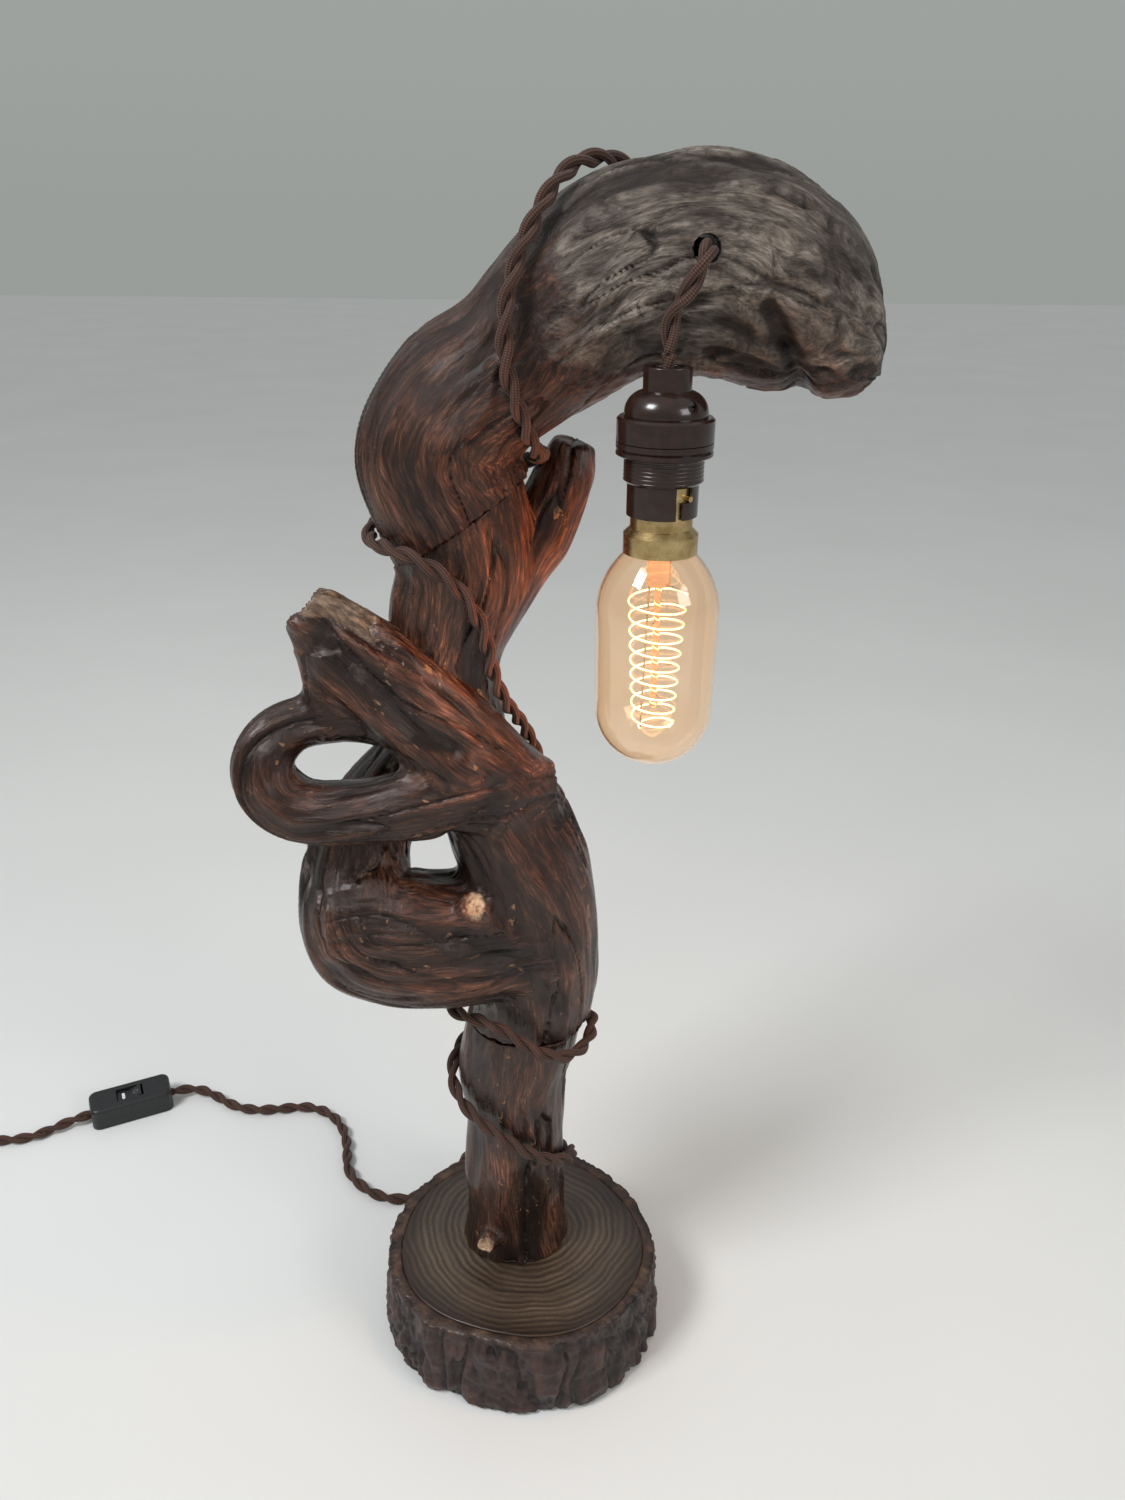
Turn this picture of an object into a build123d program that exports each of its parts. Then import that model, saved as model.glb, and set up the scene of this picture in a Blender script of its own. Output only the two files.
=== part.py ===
"""Bedside lamp of found wood: a log slice, a twisted stem that arches over, and a bulb hanging on its flex.

Millimetres, +Z up, +X to the right and +Y to the back, with the origin on the table under the log slice.
"""
from build123d import *
import os
from math import cos, pi, radians, sin, sqrt, tan

os.makedirs("parts", exist_ok=True)

# Log slice with its bark and felt
SLICE_WIDTH = 124.0
SLICE_DEPTH = 117.0
SLICE_THICKNESS = 43.0
SLICE_LOBE = 0.018
BARK_THICKNESS = 6.2
BARK_FURROW = 1.5
BARK_RIDGES = 26
BARK_FLARE = 2.5
BARK_GAP = 0.05
FELT_THICKNESS = 2.0
FELT_INSET = 9.0
BASE_TOP = FELT_THICKNESS + SLICE_THICKNESS

# Fixings in the wood
COACH_SCREW_DIAMETER = 8.0
COACH_SCREW_LENGTH = 75.0
COACH_HEAD_WIDTH = 13.0
COACH_HEAD_HEIGHT = 5.5
WASHER_DIAMETER = 24.0
WASHER_THICKNESS = 2.0
COUNTERBORE_DEPTH = 12.0
FIXING_GAP = 0.2
DOWEL_DIAMETER = 12.0
DOWEL_LENGTH = 50.0
DOWEL_GAP = 0.1
JOINT_GAP = 0.2

LIMB_STEPS = 2
# Wood limbs: centre x, centre y, height above the piece's seat, half width and half depth of each ellipse
FOOT_X = -4.0
FOOT_Y = 8.0
FOOT_HEIGHT = 141.0
KNOT_HEIGHT = 148.0
UPPER_HEIGHT = 92.0
FOOT_TOP = BASE_TOP + FOOT_HEIGHT
KNOT_TOP = FOOT_TOP + KNOT_HEIGHT
SCARF_MIDDLE = KNOT_TOP + UPPER_HEIGHT
FOOT_LIMB = [
    (FOOT_X, FOOT_Y, 0, 27, 25),
    (FOOT_X, FOOT_Y, 18, 25.2, 22.5),
    (FOOT_X, FOOT_Y, 41, 25.2, 22),
    (-3, 8, 74, 23.8, 21.5),
    (-4, 8, 105, 26, 23.5),
    (0, 8, 126, 27, 24.5),
    (3, 8, FOOT_HEIGHT, 27.5, 25),
]
FOOT_TWIG = [(-10, 0, 11, 6, 6), (-15.5, -12, 14.5, 5.2, 5.2), (-17.5, -17.5, 16, 4.3, 4.3)]
TRUNK_LIMB = [
    (4, 8, 0, 28, 25.5),
    (8, 7, 24, 27, 26.5),
    (8, 6, 50, 28, 26.5),
    (4, 5, 77, 29, 26.5),
    (-3.5, 4, 103, 27.5, 25),
    (-13, 4, 125, 24.3, 23),
    (-26, 5.5, KNOT_HEIGHT, 22.5, 21.5),
]
BEAK_LIMB = [
    (-83, -2, 205, 10.5, 9.5),
    (-68, -6, 192, 16, 13),
    (-48.5, -10, 174.5, 22, 16),
    (-29, -10, 155, 21.5, 17),
    (-11, -6, 135, 20, 17),
]
CHEEK_LIMB = [(-72, -5, 190, 14, 11.5), (-70, -5, 173, 15, 12), (-68, -5, 158, 14, 10.5)]
LOOP_LIMB = [
    (-58, -5, 159, 10, 10),
    (-74, -4, 160, 10.3, 10),
    (-92, -8, 158.5, 11, 10.5),
    (-102.5, -14, 149.5, 12.2, 11.5),
    (-102.5, -18, 135, 13.3, 12.5),
    (-89, -20, 124, 13.8, 13),
    (-66, -20, 124, 14, 13.5),
    (-41.5, -18, 127.5, 15.5, 14.5),
    (-13, -9, 130, 17, 16),
]
CURL_LIMB = [
    (9, 4, 50, 26, 25),
    (-22, -2, 50.5, 32, 26),
    (-48, -4, 51.5, 33, 26.5),
    (-66, -3, 56, 33, 25),
    (-73, 1, 71, 27, 23.5),
    (-72.5, 9, 87, 23, 21),
    (-63, 16, 110, 19, 18),
    (-47, 15, 132, 16.5, 16),
    (-27, 9, 144, 15, 15),
]
CURL_TWIG = [(-18, -6, 62, 6.5, 5), (-18, -17, 75, 6, 4.6), (-18, -20.5, 79.5, 5.6, 4.2)]
UPPER_LIMB = [
    (-28, 6, 0, 22.5, 21),
    (-30, 6, 20, 22.5, 21),
    (-29.5, 6, 38, 22.3, 21),
    (-26, 6, 55, 24.5, 22),
    (-22, 6, 70, 25.2, 23),
    (-22, 6, UPPER_HEIGHT, 28.5, 23),
]
BRANCH_LIMB = [
    (-6, 10, 60, 12.5, 12.5),
    (3.5, 14, 76, 11.6, 11.6),
    (12, 18.5, 91, 10.8, 10.8),
    (18.5, 22, 106, 9.8, 9.8),
    (21, 23, 114.5, 8.2, 8.2),
]
ARCH_LIMB = [
    (-22, 6, 0, 31, 26),
    (-29.5, 5, 26, 31.5, 27),
    (-19, 5, 45, 29, 27),
    (0, 4, 58.5, 27, 26),
    (19, 2, 75, 31, 28),
    (35, 0, 86.5, 34, 29),
    (51.5, 0, 91, 36, 30),
    (71, 0, 91.5, 36.5, 30),
    (87, 0, 86.5, 35.5, 30),
    (103, 0, 77, 31.5, 28),
    (114, 0, 67.5, 23.5, 23),
    (121.5, 0, 60, 15.5, 16),
    (124.5, 0, 56.5, 9, 10),
]
SCARF_ANGLE = 33.7
SCARF_REACH = 60.0
SCARF_DEPTH = 40.0
HEAD_HOLE_X = 64.0
HEAD_HOLE_RISE = 97.7
HEAD_HOLE_LENGTH = 90.0
HEAD_HOLE_Z = SCARF_MIDDLE + HEAD_HOLE_RISE

# Flex: two twisted braided strands, taken as one round cord
FLEX_DIAMETER = 6.4
FLEX_HOLE_CLEARANCE = 2.6
FLEX_FIT = 0.1
FLEX_ROUND_SHARE = 0.45

# Lampholder, hanging on its flex
PENDANT_X = 52.5
PENDANT_Y = -37.0
DROP_HEIGHT = 35.7
SWING_RISE = 8.0
HOLDER_TOP = HEAD_HOLE_Z - DROP_HEIGHT
COLLAR_DIAMETER = 16.5
COLLAR_LENGTH = 7.5
COLLAR_MOUTH = 11.0
DOME_DIAMETER = 28.5
DOME_HEIGHT = 8.5
RIM_DIAMETER = 33.5
RIM_HEIGHT = 8.0
RIM_ROUND = 0.8
CAP_WALL = 2.2
CAP_OVERLAP = 6.5
RING_HEIGHT = 5.0
RING_GAP = 0.3
RING_GROOVE = 0.6
THREAD_DIAMETER = 27.6
THREAD_SHOWING = 7.9
THREAD_FIT = 0.15
BARREL_DIAMETER = 25.0
BARREL_LENGTH = 12.0
BARREL_BORE = 22.6
BARREL_STEP = 1.2
LEDGE_BORE = 20.0
LEDGE_THICKNESS = 1.5
INSULATOR_DIAMETER = 22.2
SEAT_FIT = 0.1
LOCK_SCREW_DIAMETER = 4.2
LOCK_SCREW_LENGTH = 3.4
LOCK_SCREW_SLOT = 0.8
LOCK_BEARING = -55.0

# Bayonet: pins, slots, plungers and springs
PIN_DIAMETER = 2.0
PIN_SPAN = 26.4
PIN_RISE = 7.2
PIN_BEARING = -48.0
SLOT_GAP = 0.3
BULB_TURN = 18.0
BULB_PUSH = 2.5
PUSH_SPARE = 0.7
CONTACT_RISE = 6.3
CONTACT_SPREAD = 4.2
CONTACT_GAP = 0.1
PLUNGER_DIAMETER = 5.0
PLUNGER_LENGTH = 8.6
PLUNGER_FIT = 0.05
SPRING_ROOM = 7.5
SPRING_DIAMETER = 4.2
SPRING_WIRE = 0.5
SPRING_TURNS = 5
TERMINAL_SPREAD = 8.4
TERMINAL_DIAMETER = 2.4
TERMINAL_LENGTH = 4.5
TERMINAL_HEAD = 4.0
TERMINAL_HEAD_HEIGHT = 1.8

# Bulb
SHELL_DIAMETER = 22.0
SHELL_WALL = 0.5
SHELL_SHOWING = 4.4
SKIRT_DIAMETER = 26.5
SKIRT_LENGTH = 9.0
BEAD_THICKNESS = 2.2
CONTACT_DIAMETER = 4.6
CONTACT_HEIGHT = 1.2
GLASS_DIAMETER = 45.0
GLASS_WALL = 0.9
GLASS_LENGTH = 81.7
GLASS_SHOULDER = 22.0
GLASS_MID_RADIUS = 18.6
GLASS_MID_DROP = 7.9
GLASS_TAPER = 0.5
GLASS_FIT = 0.3
STEM_DIAMETER = 8.8
STEM_DROP = 12.4
FLARE_THICKNESS = 1.8
ROD_DIAMETER = 2.4
ROD_LENGTH = 47.0
BUTTON_DIAMETER = 3.6
FILAMENT_WIRE = 0.6
FILAMENT_TURNS = 9.5
FILAMENT_DROP = 3.4
FILAMENT_HEIGHT = 53.0
FILAMENT_TOP_RADIUS = 10.6
FILAMENT_FOOT_RADIUS = 7.6
FILAMENT_TAIL_RADIUS = 4.5
LEAD_WIRE = 0.7
LEAD_SPREAD = 3.2
SUPPORT_WIRE = 0.4
SUPPORT_TURNS = (1.7, 3.4, 5.1, 6.8)
WIRE_GAP = 0.05

# Inline switch
SWITCH_X = -261.0
SWITCH_Y = 142.0
SWITCH_BEARING = 25.0
SWITCH_LENGTH = 50.0
SWITCH_WIDTH = 22.0
SWITCH_HEIGHT = 15.0
SWITCH_CORNER = 5.0
SWITCH_ROUND = 2.5
SWITCH_WALL = 1.8
SWITCH_ROOF = 2.2
SWITCH_SEAM = 6.5
SWITCH_SEAM_GAP = 0.05
SWITCH_FLEX_Z = 6.0
SWITCH_FLEX_DEPTH = 5.0
SWITCH_FLEX_RUN = 8.0
ROCKER_LENGTH = 14.8
ROCKER_WIDTH = 10.4
ROCKER_RISE = 2.6
ROCKER_MIDDLE = 1.4
ROCKER_SHOULDER = 2.2
ROCKER_TAPER = 0.8
ROCKER_KEEL = 4.4
ROCKER_TILT = 9.0
ROCKER_PIVOT_DROP = 3.2
ROCKER_GAP = 0.35
AXLE_DIAMETER = 2.0
AXLE_FIT = 0.04
LUG_THICKNESS = 2.2
LUG_LENGTH = 5.0
SWITCH_SCREW_X = 17.0
SWITCH_SCREW_Y = 7.0
SWITCH_SCREW_DIAMETER = 2.5
SWITCH_SCREW_LENGTH = 9.0
SWITCH_SCREW_HEAD = 4.4
SWITCH_SCREW_HEAD_HEIGHT = 1.4
SWITCH_BOSS = 5.4
CONTACT_POST_X = 5.0
CONTACT_POST_LENGTH = 3.0
CONTACT_POST_WIDTH = 6.0
CONTACT_POST_HEIGHT = 3.6

# Coil of spare flex and its tie
COIL_X = -398.0
COIL_Y = 65.0
COIL_RADIUS = 43.0
COIL_TURN_GAP = 0.5
COIL_TURNS_IN = 3
COIL_TURNS = 6.375
COIL_LEAD = 14.0
TIE_THICKNESS = 1.2
TIE_WIDTH = 7.0
TIE_GAP = 0.3
TIE_SLACK = 0.8
PLUG_TAIL = 47.0

# Mains plug, lying on its back
PLUG_LENGTH = 49.0
PLUG_WIDTH = 49.0
PLUG_NOSE = 34.0
PLUG_FLANK = 30.0
PLUG_CORNER = 6.0
PLUG_ROUND = 2.0
PLUG_HEIGHT = 22.0
PLUG_WALL = 2.5
PLUG_FACE = 4.0
PLUG_SEAM_GAP = 0.05
PLUG_FLEX_DEPTH = 7.0
PIN_LINE_X = 13.0
PIN_PITCH = 22.2
LINE_PIN_WIDTH = 6.35
EARTH_PIN_WIDTH = 8.0
PLUG_PIN_THICKNESS = 4.0
LINE_PIN_LENGTH = 17.7
EARTH_PIN_LENGTH = 22.7
PIN_ROOT = 12.0
PIN_FIT = 0.02
FUSE_DIAMETER = 6.3
FUSE_LENGTH = 25.4
FUSE_CAP = 5.5
FUSE_X = 11.0
FUSE_Y = 14.0
PLUG_SCREW_X = 24.5
PLUG_SCREW_DIAMETER = 3.5
PLUG_SCREW_HEAD = 6.8
PLUG_SCREW_HEAD_HEIGHT = 2.4
PLUG_BOSS = 8.0

# Points that the flex passes, from its exit at the back of the foot up to the hole in the head: x, y and height
FOOT_WIND = [
    (9, 33, 35),
    (21, 25, 42),
    (26, 12, 50),
    (24, -2, 59),
    (14, -14, 69),
    (2, -19, 80),
    (-12, -18.5, 91),
    (-26, -12, 99),
    (-34.5, 2, 106),
    (-33, 18, 112),
]
KNOT_WIND = [
    (-22, 31, -23),
    (-7, 37, -17),
    (10, 37, -11),
    (27, 28, -6),
    (35, 15, -5),
    (34, 1, -6),
    (28, -11, -7),
    (19, -18, -5),
    (10, -22.5, 1),
    (-1, -23, 10),
    (-11, -21, 16),
    (-22, -15.5, 16),
    (-33, -4, 11.5),
    (-37, 11, 15.5),
    (-34, 24, 24),
    (-24, 32, 35),
    (-7, 36, 51),
    (8, 37, 73),
    (14, 32, 100),
    (9.5, 26, 125),
    (2.5, 13.5, 149),
    (-4, -3, 165),
]
UPPER_WIND = [
    (-9, -10.5, 32),
    (-10.5, -16, 47),
    (-13.5, -20, 60),
    (-19, -22, 70),
]
ARCH_WIND = [
    (-28, -22.5, -13),
    (-37.5, -21, -8),
    (-48, -16, -6),
    (-58.5, 1, -6.5),
    (-56, 20, -3),
    (-44, 33, 2),
    (-25, 37.5, 8),
    (-7, 35, 14),
    (4.5, 25, 19.5),
    (11, 8, 25),
    (8, -9, 28),
    (4, -22, 41),
    (-2, -28, 58),
    (-2.5, -28, 74),
    (-0.5, -24.5, 87.5),
    (5, -20.5, 101),
    (11.5, -14, 113.5),
    (20, -4, 123),
    (30, 9, 126),
    (41.5, 22, 123.5),
    (53, 34, 115.5),
    (62.5, 44.5, 109.5),
    (HEAD_HOLE_X, 43, HEAD_HOLE_RISE),
    (HEAD_HOLE_X, 31, HEAD_HOLE_RISE),
]
DROP_WIND = [
    (HEAD_HOLE_X, -26, 0),
    (HEAD_HOLE_X, -40, 0),
    (58, -41, -11.7),
    (PENDANT_X, PENDANT_Y, -19.2),
]

# Points on the table, from the exit to the switch, and from the switch to the coil
SWITCH_ROUTE = [
    (-3, 41, 73),
    (-12, 53, 64),
    (-19, 66, 54),
    (-25, 76, 41),
    (-32, 81, 27),
    (-42, 81, 14),
    (-54, 75, 6),
    (-64, 68, 3.3),
    (-76, 65, 3.3),
    (-89, 68, 3.3),
    (-102, 77, 3.3),
    (-111, 89, 3.3),
    (-113, 104, 3.3),
    (-117, 119, 3.3),
    (-125, 132, 3.3),
    (-136, 140, 3.3),
    (-149, 143, 3.3),
    (-165, 140, 3.3),
    (-181, 139, 3.3),
    (-195, 143, 3.3),
    (-206, 150.5, 3.4),
    (-218, 156, 5),
]
COIL_ROUTE = [
    (-302, 122, 4),
    (-314, 114, 3.3),
    (-328, 111, 3.3),
    (-344, 110, 3.3),
    (-360, 109, 4),
]


def finish(builder, label):
    """Names a finished piece and writes it out."""
    builder.part.label = label
    export_step(builder.part, f"parts/{label}.step")


def between(rows, steps):
    """A smooth curve through rows of numbers, with the same number of steps from each row to the next."""
    padded = [[2 * p - q for p, q in zip(rows[0], rows[1])], *rows]
    padded.append([2 * p - q for p, q in zip(rows[-1], rows[-2])])
    curve = []
    for number in range(len(rows) - 1):
        for step in range(steps):
            t = step / steps
            curve.append([
                b + 0.5 * t * (c - a + t * (2 * a - 5 * b + 4 * c - d + t * (3 * (b - c) + d - a)))
                for a, b, c, d in zip(*padded[number:number + 4])
            ])
    return [*curve, rows[-1]]


def limb(stations, seat, first=None, last=None, grow=0.0):
    """Ellipses square to the line through stations above a seat, or to the first and last directions given."""
    centres = [Vector(x, y, seat + height) for x, y, height, _, _ in stations]
    rows = []
    for number, (_, _, _, half_width, half_depth) in enumerate(stations):
        along = centres[min(number + 1, len(centres) - 1)] - centres[max(number - 1, 0)]
        if number == 0 and first is not None:
            along = first
        if number == len(stations) - 1 and last is not None:
            along = last
        rows.append([*centres[number], half_width + grow, half_depth + grow, *along.normalized()])
    sections = []
    for x, y, z, half_width, half_depth, *along in between(rows, LIMB_STEPS):
        across = Vector(along[2], 0, -along[0])
        with BuildSketch(Plane(origin=(x, y, z), x_dir=across, z_dir=Vector(*along))) as outline:
            Ellipse(half_width, half_depth)
        sections.append(outline.sketch)
    return sections


UPRIGHT = Vector(0, 0, 1)
SCARF = Vector(-sin(radians(SCARF_ANGLE)), 0, cos(radians(SCARF_ANGLE)))
FOOT_SEAT = Vector(*FOOT_LIMB[-1][:2], FOOT_TOP)
NECK_SEAT = Vector(*UPPER_LIMB[0][:2], KNOT_TOP)
SCARF_SEAT = Vector(*UPPER_LIMB[-1][:2], SCARF_MIDDLE)


def dowel_plane(seat, along):
    """The plane across a dowel's middle, which is on the seat of its joint."""
    return Plane(origin=seat, x_dir=(0, 1, 0), z_dir=along)


def slice_outline(grow, ridge=0.0, turn=0.0):
    """Points of the log's outline, grown by a distance, with bark ridges of the given height."""
    count = 3 * BARK_RIDGES
    points = []
    for number in range(count):
        angle = 2 * pi * number / count
        lobe = 1 + SLICE_LOBE * (cos(2 * angle + 0.7) + cos(3 * angle + 2.1) + 0.6 * cos(5 * angle))
        bark = grow + ridge * (cos(BARK_RIDGES * angle + turn) + 0.5 * sin(7 * angle + 2 * turn))
        points.append((
            (SLICE_WIDTH / 2 * lobe + bark) * cos(angle),
            (SLICE_DEPTH / 2 * lobe + bark) * sin(angle),
        ))
    return points


# Felt under the slice
with BuildPart() as base_felt:
    with BuildSketch(Plane.XY):
        with BuildLine():
            Spline(*slice_outline(-FELT_INSET), periodic=True)
        make_face()
    extrude(amount=FELT_THICKNESS)
finish(base_felt, "base_felt")

# Log slice, counterbored from below for the coach screw
with BuildPart() as base_slice:
    with BuildSketch(Plane.XY.offset(FELT_THICKNESS)):
        with BuildLine():
            Spline(*slice_outline(0), periodic=True)
        make_face()
    extrude(amount=SLICE_THICKNESS)
    with BuildSketch(Plane.XY.offset(FELT_THICKNESS)):
        with Locations((FOOT_X, FOOT_Y)):
            Circle(WASHER_DIAMETER / 2 + FIXING_GAP)
    extrude(amount=COUNTERBORE_DEPTH, mode=Mode.SUBTRACT)
    with BuildSketch(Plane.XY.offset(FELT_THICKNESS)):
        with Locations((FOOT_X, FOOT_Y)):
            Circle(COACH_SCREW_DIAMETER / 2 + FIXING_GAP)
    extrude(amount=SLICE_THICKNESS, mode=Mode.SUBTRACT)
finish(base_slice, "base_slice")

# Bark, furrowed and a little wider at the foot
with BuildPart() as base_bark:
    with BuildSketch(Plane.XY.offset(FELT_THICKNESS)):
        with BuildLine():
            Spline(*slice_outline(BARK_THICKNESS + BARK_FLARE, BARK_FURROW, 0.4), periodic=True)
        make_face()
    with BuildSketch(Plane.XY.offset(BASE_TOP)):
        with BuildLine():
            Spline(*slice_outline(BARK_THICKNESS, BARK_FURROW), periodic=True)
        make_face()
    loft(ruled=True)
    with BuildSketch(Plane.XY.offset(FELT_THICKNESS)):
        with BuildLine():
            Spline(*slice_outline(BARK_GAP), periodic=True)
        make_face()
    extrude(amount=SLICE_THICKNESS, mode=Mode.SUBTRACT)
finish(base_bark, "base_bark")

# Coach screw and its washer, under the foot
WASHER_TOP = FELT_THICKNESS + COUNTERBORE_DEPTH
with BuildPart() as coach_washer:
    with BuildSketch(Plane.XY.offset(WASHER_TOP)):
        with Locations((FOOT_X, FOOT_Y)):
            Circle(WASHER_DIAMETER / 2)
            Circle(COACH_SCREW_DIAMETER / 2 + FIXING_GAP, mode=Mode.SUBTRACT)
    extrude(amount=-WASHER_THICKNESS)
finish(coach_washer, "coach_washer")

with BuildPart() as coach_screw:
    with BuildSketch(Plane.XY.offset(WASHER_TOP - WASHER_THICKNESS)):
        with Locations((FOOT_X, FOOT_Y)):
            RegularPolygon(COACH_HEAD_WIDTH / 2, 6, major_radius=False)
    extrude(amount=-COACH_HEAD_HEIGHT)
    with BuildSketch(Plane.XY.offset(WASHER_TOP - WASHER_THICKNESS)):
        with Locations((FOOT_X, FOOT_Y)):
            Circle(COACH_SCREW_DIAMETER / 2)
    extrude(amount=COACH_SCREW_LENGTH)
    chamfer(coach_screw.edges().sort_by(Axis.Z)[-1], length=COACH_SCREW_DIAMETER / 4)
finish(coach_screw, "coach_screw")

# Foot stem, with the stub of a twig and the holes for its screw and dowel
with BuildPart() as foot_stem:
    loft(limb(FOOT_LIMB, BASE_TOP, first=UPRIGHT, last=UPRIGHT))
    loft(limb(FOOT_TWIG, BASE_TOP))
    with BuildSketch(Plane.XY.offset(BASE_TOP)):
        with Locations((FOOT_X, FOOT_Y)):
            Circle(COACH_SCREW_DIAMETER / 2 + FIXING_GAP)
    extrude(amount=COACH_SCREW_LENGTH - SLICE_THICKNESS + COUNTERBORE_DEPTH, mode=Mode.SUBTRACT)
    with BuildSketch(dowel_plane(FOOT_SEAT, UPRIGHT)):
        Circle(DOWEL_DIAMETER / 2 + DOWEL_GAP)
    extrude(amount=DOWEL_LENGTH / 2 + DOWEL_GAP, both=True, mode=Mode.SUBTRACT)
finish(foot_stem, "foot_stem")

# Twisted middle piece: its trunk, beak, cheek, loop and curl, coped round the stem above
with BuildPart() as knot_stem:
    loft(limb(TRUNK_LIMB, FOOT_TOP, first=UPRIGHT, last=UPRIGHT))
    loft(limb(CURL_LIMB, FOOT_TOP))
    loft(limb(BEAK_LIMB, FOOT_TOP))
    loft(limb(CHEEK_LIMB, FOOT_TOP))
    loft(limb(LOOP_LIMB, FOOT_TOP))
    loft(limb(CURL_TWIG, FOOT_TOP))
    loft(limb(UPPER_LIMB, KNOT_TOP, first=UPRIGHT, last=SCARF, grow=JOINT_GAP), mode=Mode.SUBTRACT)
    for seat in (FOOT_SEAT, NECK_SEAT):
        with BuildSketch(dowel_plane(seat, UPRIGHT)):
            Circle(DOWEL_DIAMETER / 2 + DOWEL_GAP)
        extrude(amount=DOWEL_LENGTH / 2 + DOWEL_GAP, both=True, mode=Mode.SUBTRACT)
finish(knot_stem, "knot_stem")

# Upper stem with its sawn side branch
with BuildPart() as upper_stem:
    loft(limb(UPPER_LIMB, KNOT_TOP, first=UPRIGHT, last=SCARF))
    loft(limb(BRANCH_LIMB, KNOT_TOP))
    with BuildSketch(dowel_plane(NECK_SEAT, UPRIGHT)):
        Circle(DOWEL_DIAMETER / 2 + DOWEL_GAP)
    extrude(amount=DOWEL_LENGTH / 2 + DOWEL_GAP, both=True, mode=Mode.SUBTRACT)
    with BuildSketch(dowel_plane(SCARF_SEAT, SCARF)):
        Circle(DOWEL_DIAMETER / 2 + DOWEL_GAP)
    extrude(amount=DOWEL_LENGTH / 2 + DOWEL_GAP, both=True, mode=Mode.SUBTRACT)
finish(upper_stem, "upper_stem")

# Arch and head, drilled from front to back for the flex
with BuildPart() as arch_head:
    loft(limb(ARCH_LIMB, SCARF_MIDDLE, first=SCARF))
    with BuildSketch(dowel_plane(SCARF_SEAT, SCARF)):
        Circle(SCARF_REACH)
    extrude(amount=-SCARF_DEPTH, mode=Mode.SUBTRACT)
    with BuildSketch(dowel_plane(SCARF_SEAT, SCARF)):
        Circle(DOWEL_DIAMETER / 2 + DOWEL_GAP)
    extrude(amount=DOWEL_LENGTH / 2 + DOWEL_GAP, both=True, mode=Mode.SUBTRACT)
    with BuildSketch(Plane.XZ):
        with Locations((HEAD_HOLE_X, HEAD_HOLE_Z)):
            Circle((FLEX_DIAMETER + FLEX_HOLE_CLEARANCE) / 2)
    extrude(amount=HEAD_HOLE_LENGTH / 2, both=True, mode=Mode.SUBTRACT)
finish(arch_head, "arch_head")

# Dowels across the three joints in the wood
for label, seat, along in (
    ("foot_dowel", FOOT_SEAT, UPRIGHT),
    ("neck_dowel", NECK_SEAT, UPRIGHT),
    ("arch_dowel", SCARF_SEAT, SCARF),
):
    with BuildPart() as dowel:
        with BuildSketch(dowel_plane(seat, along)):
            Circle(DOWEL_DIAMETER / 2)
        extrude(amount=DOWEL_LENGTH / 2, both=True)
        chamfer(dowel.edges().filter_by(GeomType.CIRCLE), length=DOWEL_DIAMETER / 10)
    finish(dowel, label)

# Heights in the lampholder and the bulb, from the top down
DOME_TOP = HOLDER_TOP - COLLAR_LENGTH
RIM_TOP = DOME_TOP - DOME_HEIGHT
RIM_BOTTOM = RIM_TOP - RIM_HEIGHT
BODY_TOP = RIM_BOTTOM + CAP_OVERLAP
RING_TOP = RIM_BOTTOM - RING_GAP
RING_BOTTOM = RING_TOP - RING_HEIGHT
THREAD_BOTTOM = RING_BOTTOM - THREAD_SHOWING
BARREL_BOTTOM = THREAD_BOTTOM - BARREL_LENGTH
PIN_Z = BARREL_BOTTOM + PIN_RISE
CONTACT_TOP = PIN_Z + CONTACT_RISE
BEAD_TOP = CONTACT_TOP - CONTACT_HEIGHT
BEAD_BOTTOM = BEAD_TOP - BEAD_THICKNESS
LEDGE_BOTTOM = CONTACT_TOP + BULB_PUSH + PUSH_SPARE
INSULATOR_BOTTOM = LEDGE_BOTTOM + LEDGE_THICKNESS
PLUNGER_BOTTOM = CONTACT_TOP + CONTACT_GAP
PLUNGER_TOP = PLUNGER_BOTTOM + PLUNGER_LENGTH
SPRING_CEILING = PLUNGER_TOP + SPRING_ROOM
SKIRT_TOP = BARREL_BOTTOM - SHELL_SHOWING
SKIRT_BOTTOM = SKIRT_TOP - SKIRT_LENGTH
SHOULDER_BOTTOM = SKIRT_TOP - (SKIRT_DIAMETER - SHELL_DIAMETER) / 2
SEAL_TOP = SHOULDER_BOTTOM - GLASS_FIT
STEM_BOTTOM = SKIRT_BOTTOM - STEM_DROP
FILAMENT_TOP = STEM_BOTTOM - FILAMENT_DROP

PENDANT_AXIS = Axis((PENDANT_X, PENDANT_Y, 0), (0, 0, 1))
PENDANT_PLANE = Plane(origin=(PENDANT_X, PENDANT_Y, 0), x_dir=(1, 0, 0), z_dir=(0, -1, 0))


def level(height):
    """A level plane on the pendant's axis, with x along the line of the two contacts."""
    bearing = radians(PIN_BEARING + 90)
    return Plane(origin=(PENDANT_X, PENDANT_Y, height), x_dir=(cos(bearing), sin(bearing), 0), z_dir=UPRIGHT)


def facing(bearing, height):
    """An upright plane through the pendant's axis that faces out along a bearing, with y up."""
    turn = radians(bearing)
    return Plane(
        origin=(PENDANT_X, PENDANT_Y, height), x_dir=(-sin(turn), cos(turn), 0), z_dir=(cos(turn), sin(turn), 0)
    )


def from_axis(radius, bearing, height):
    """A point at a radius and bearing from the pendant's axis."""
    turn = radians(bearing)
    return Vector(PENDANT_X + radius * cos(turn), PENDANT_Y + radius * sin(turn), height)


def rod(start, stop, diameter):
    """A straight round wire, in the part being built."""
    line = stop - start
    with BuildSketch(Plane(origin=start, z_dir=line)) as section:
        Circle(diameter / 2)
    extrude(section.sketch, amount=line.length)


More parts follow.
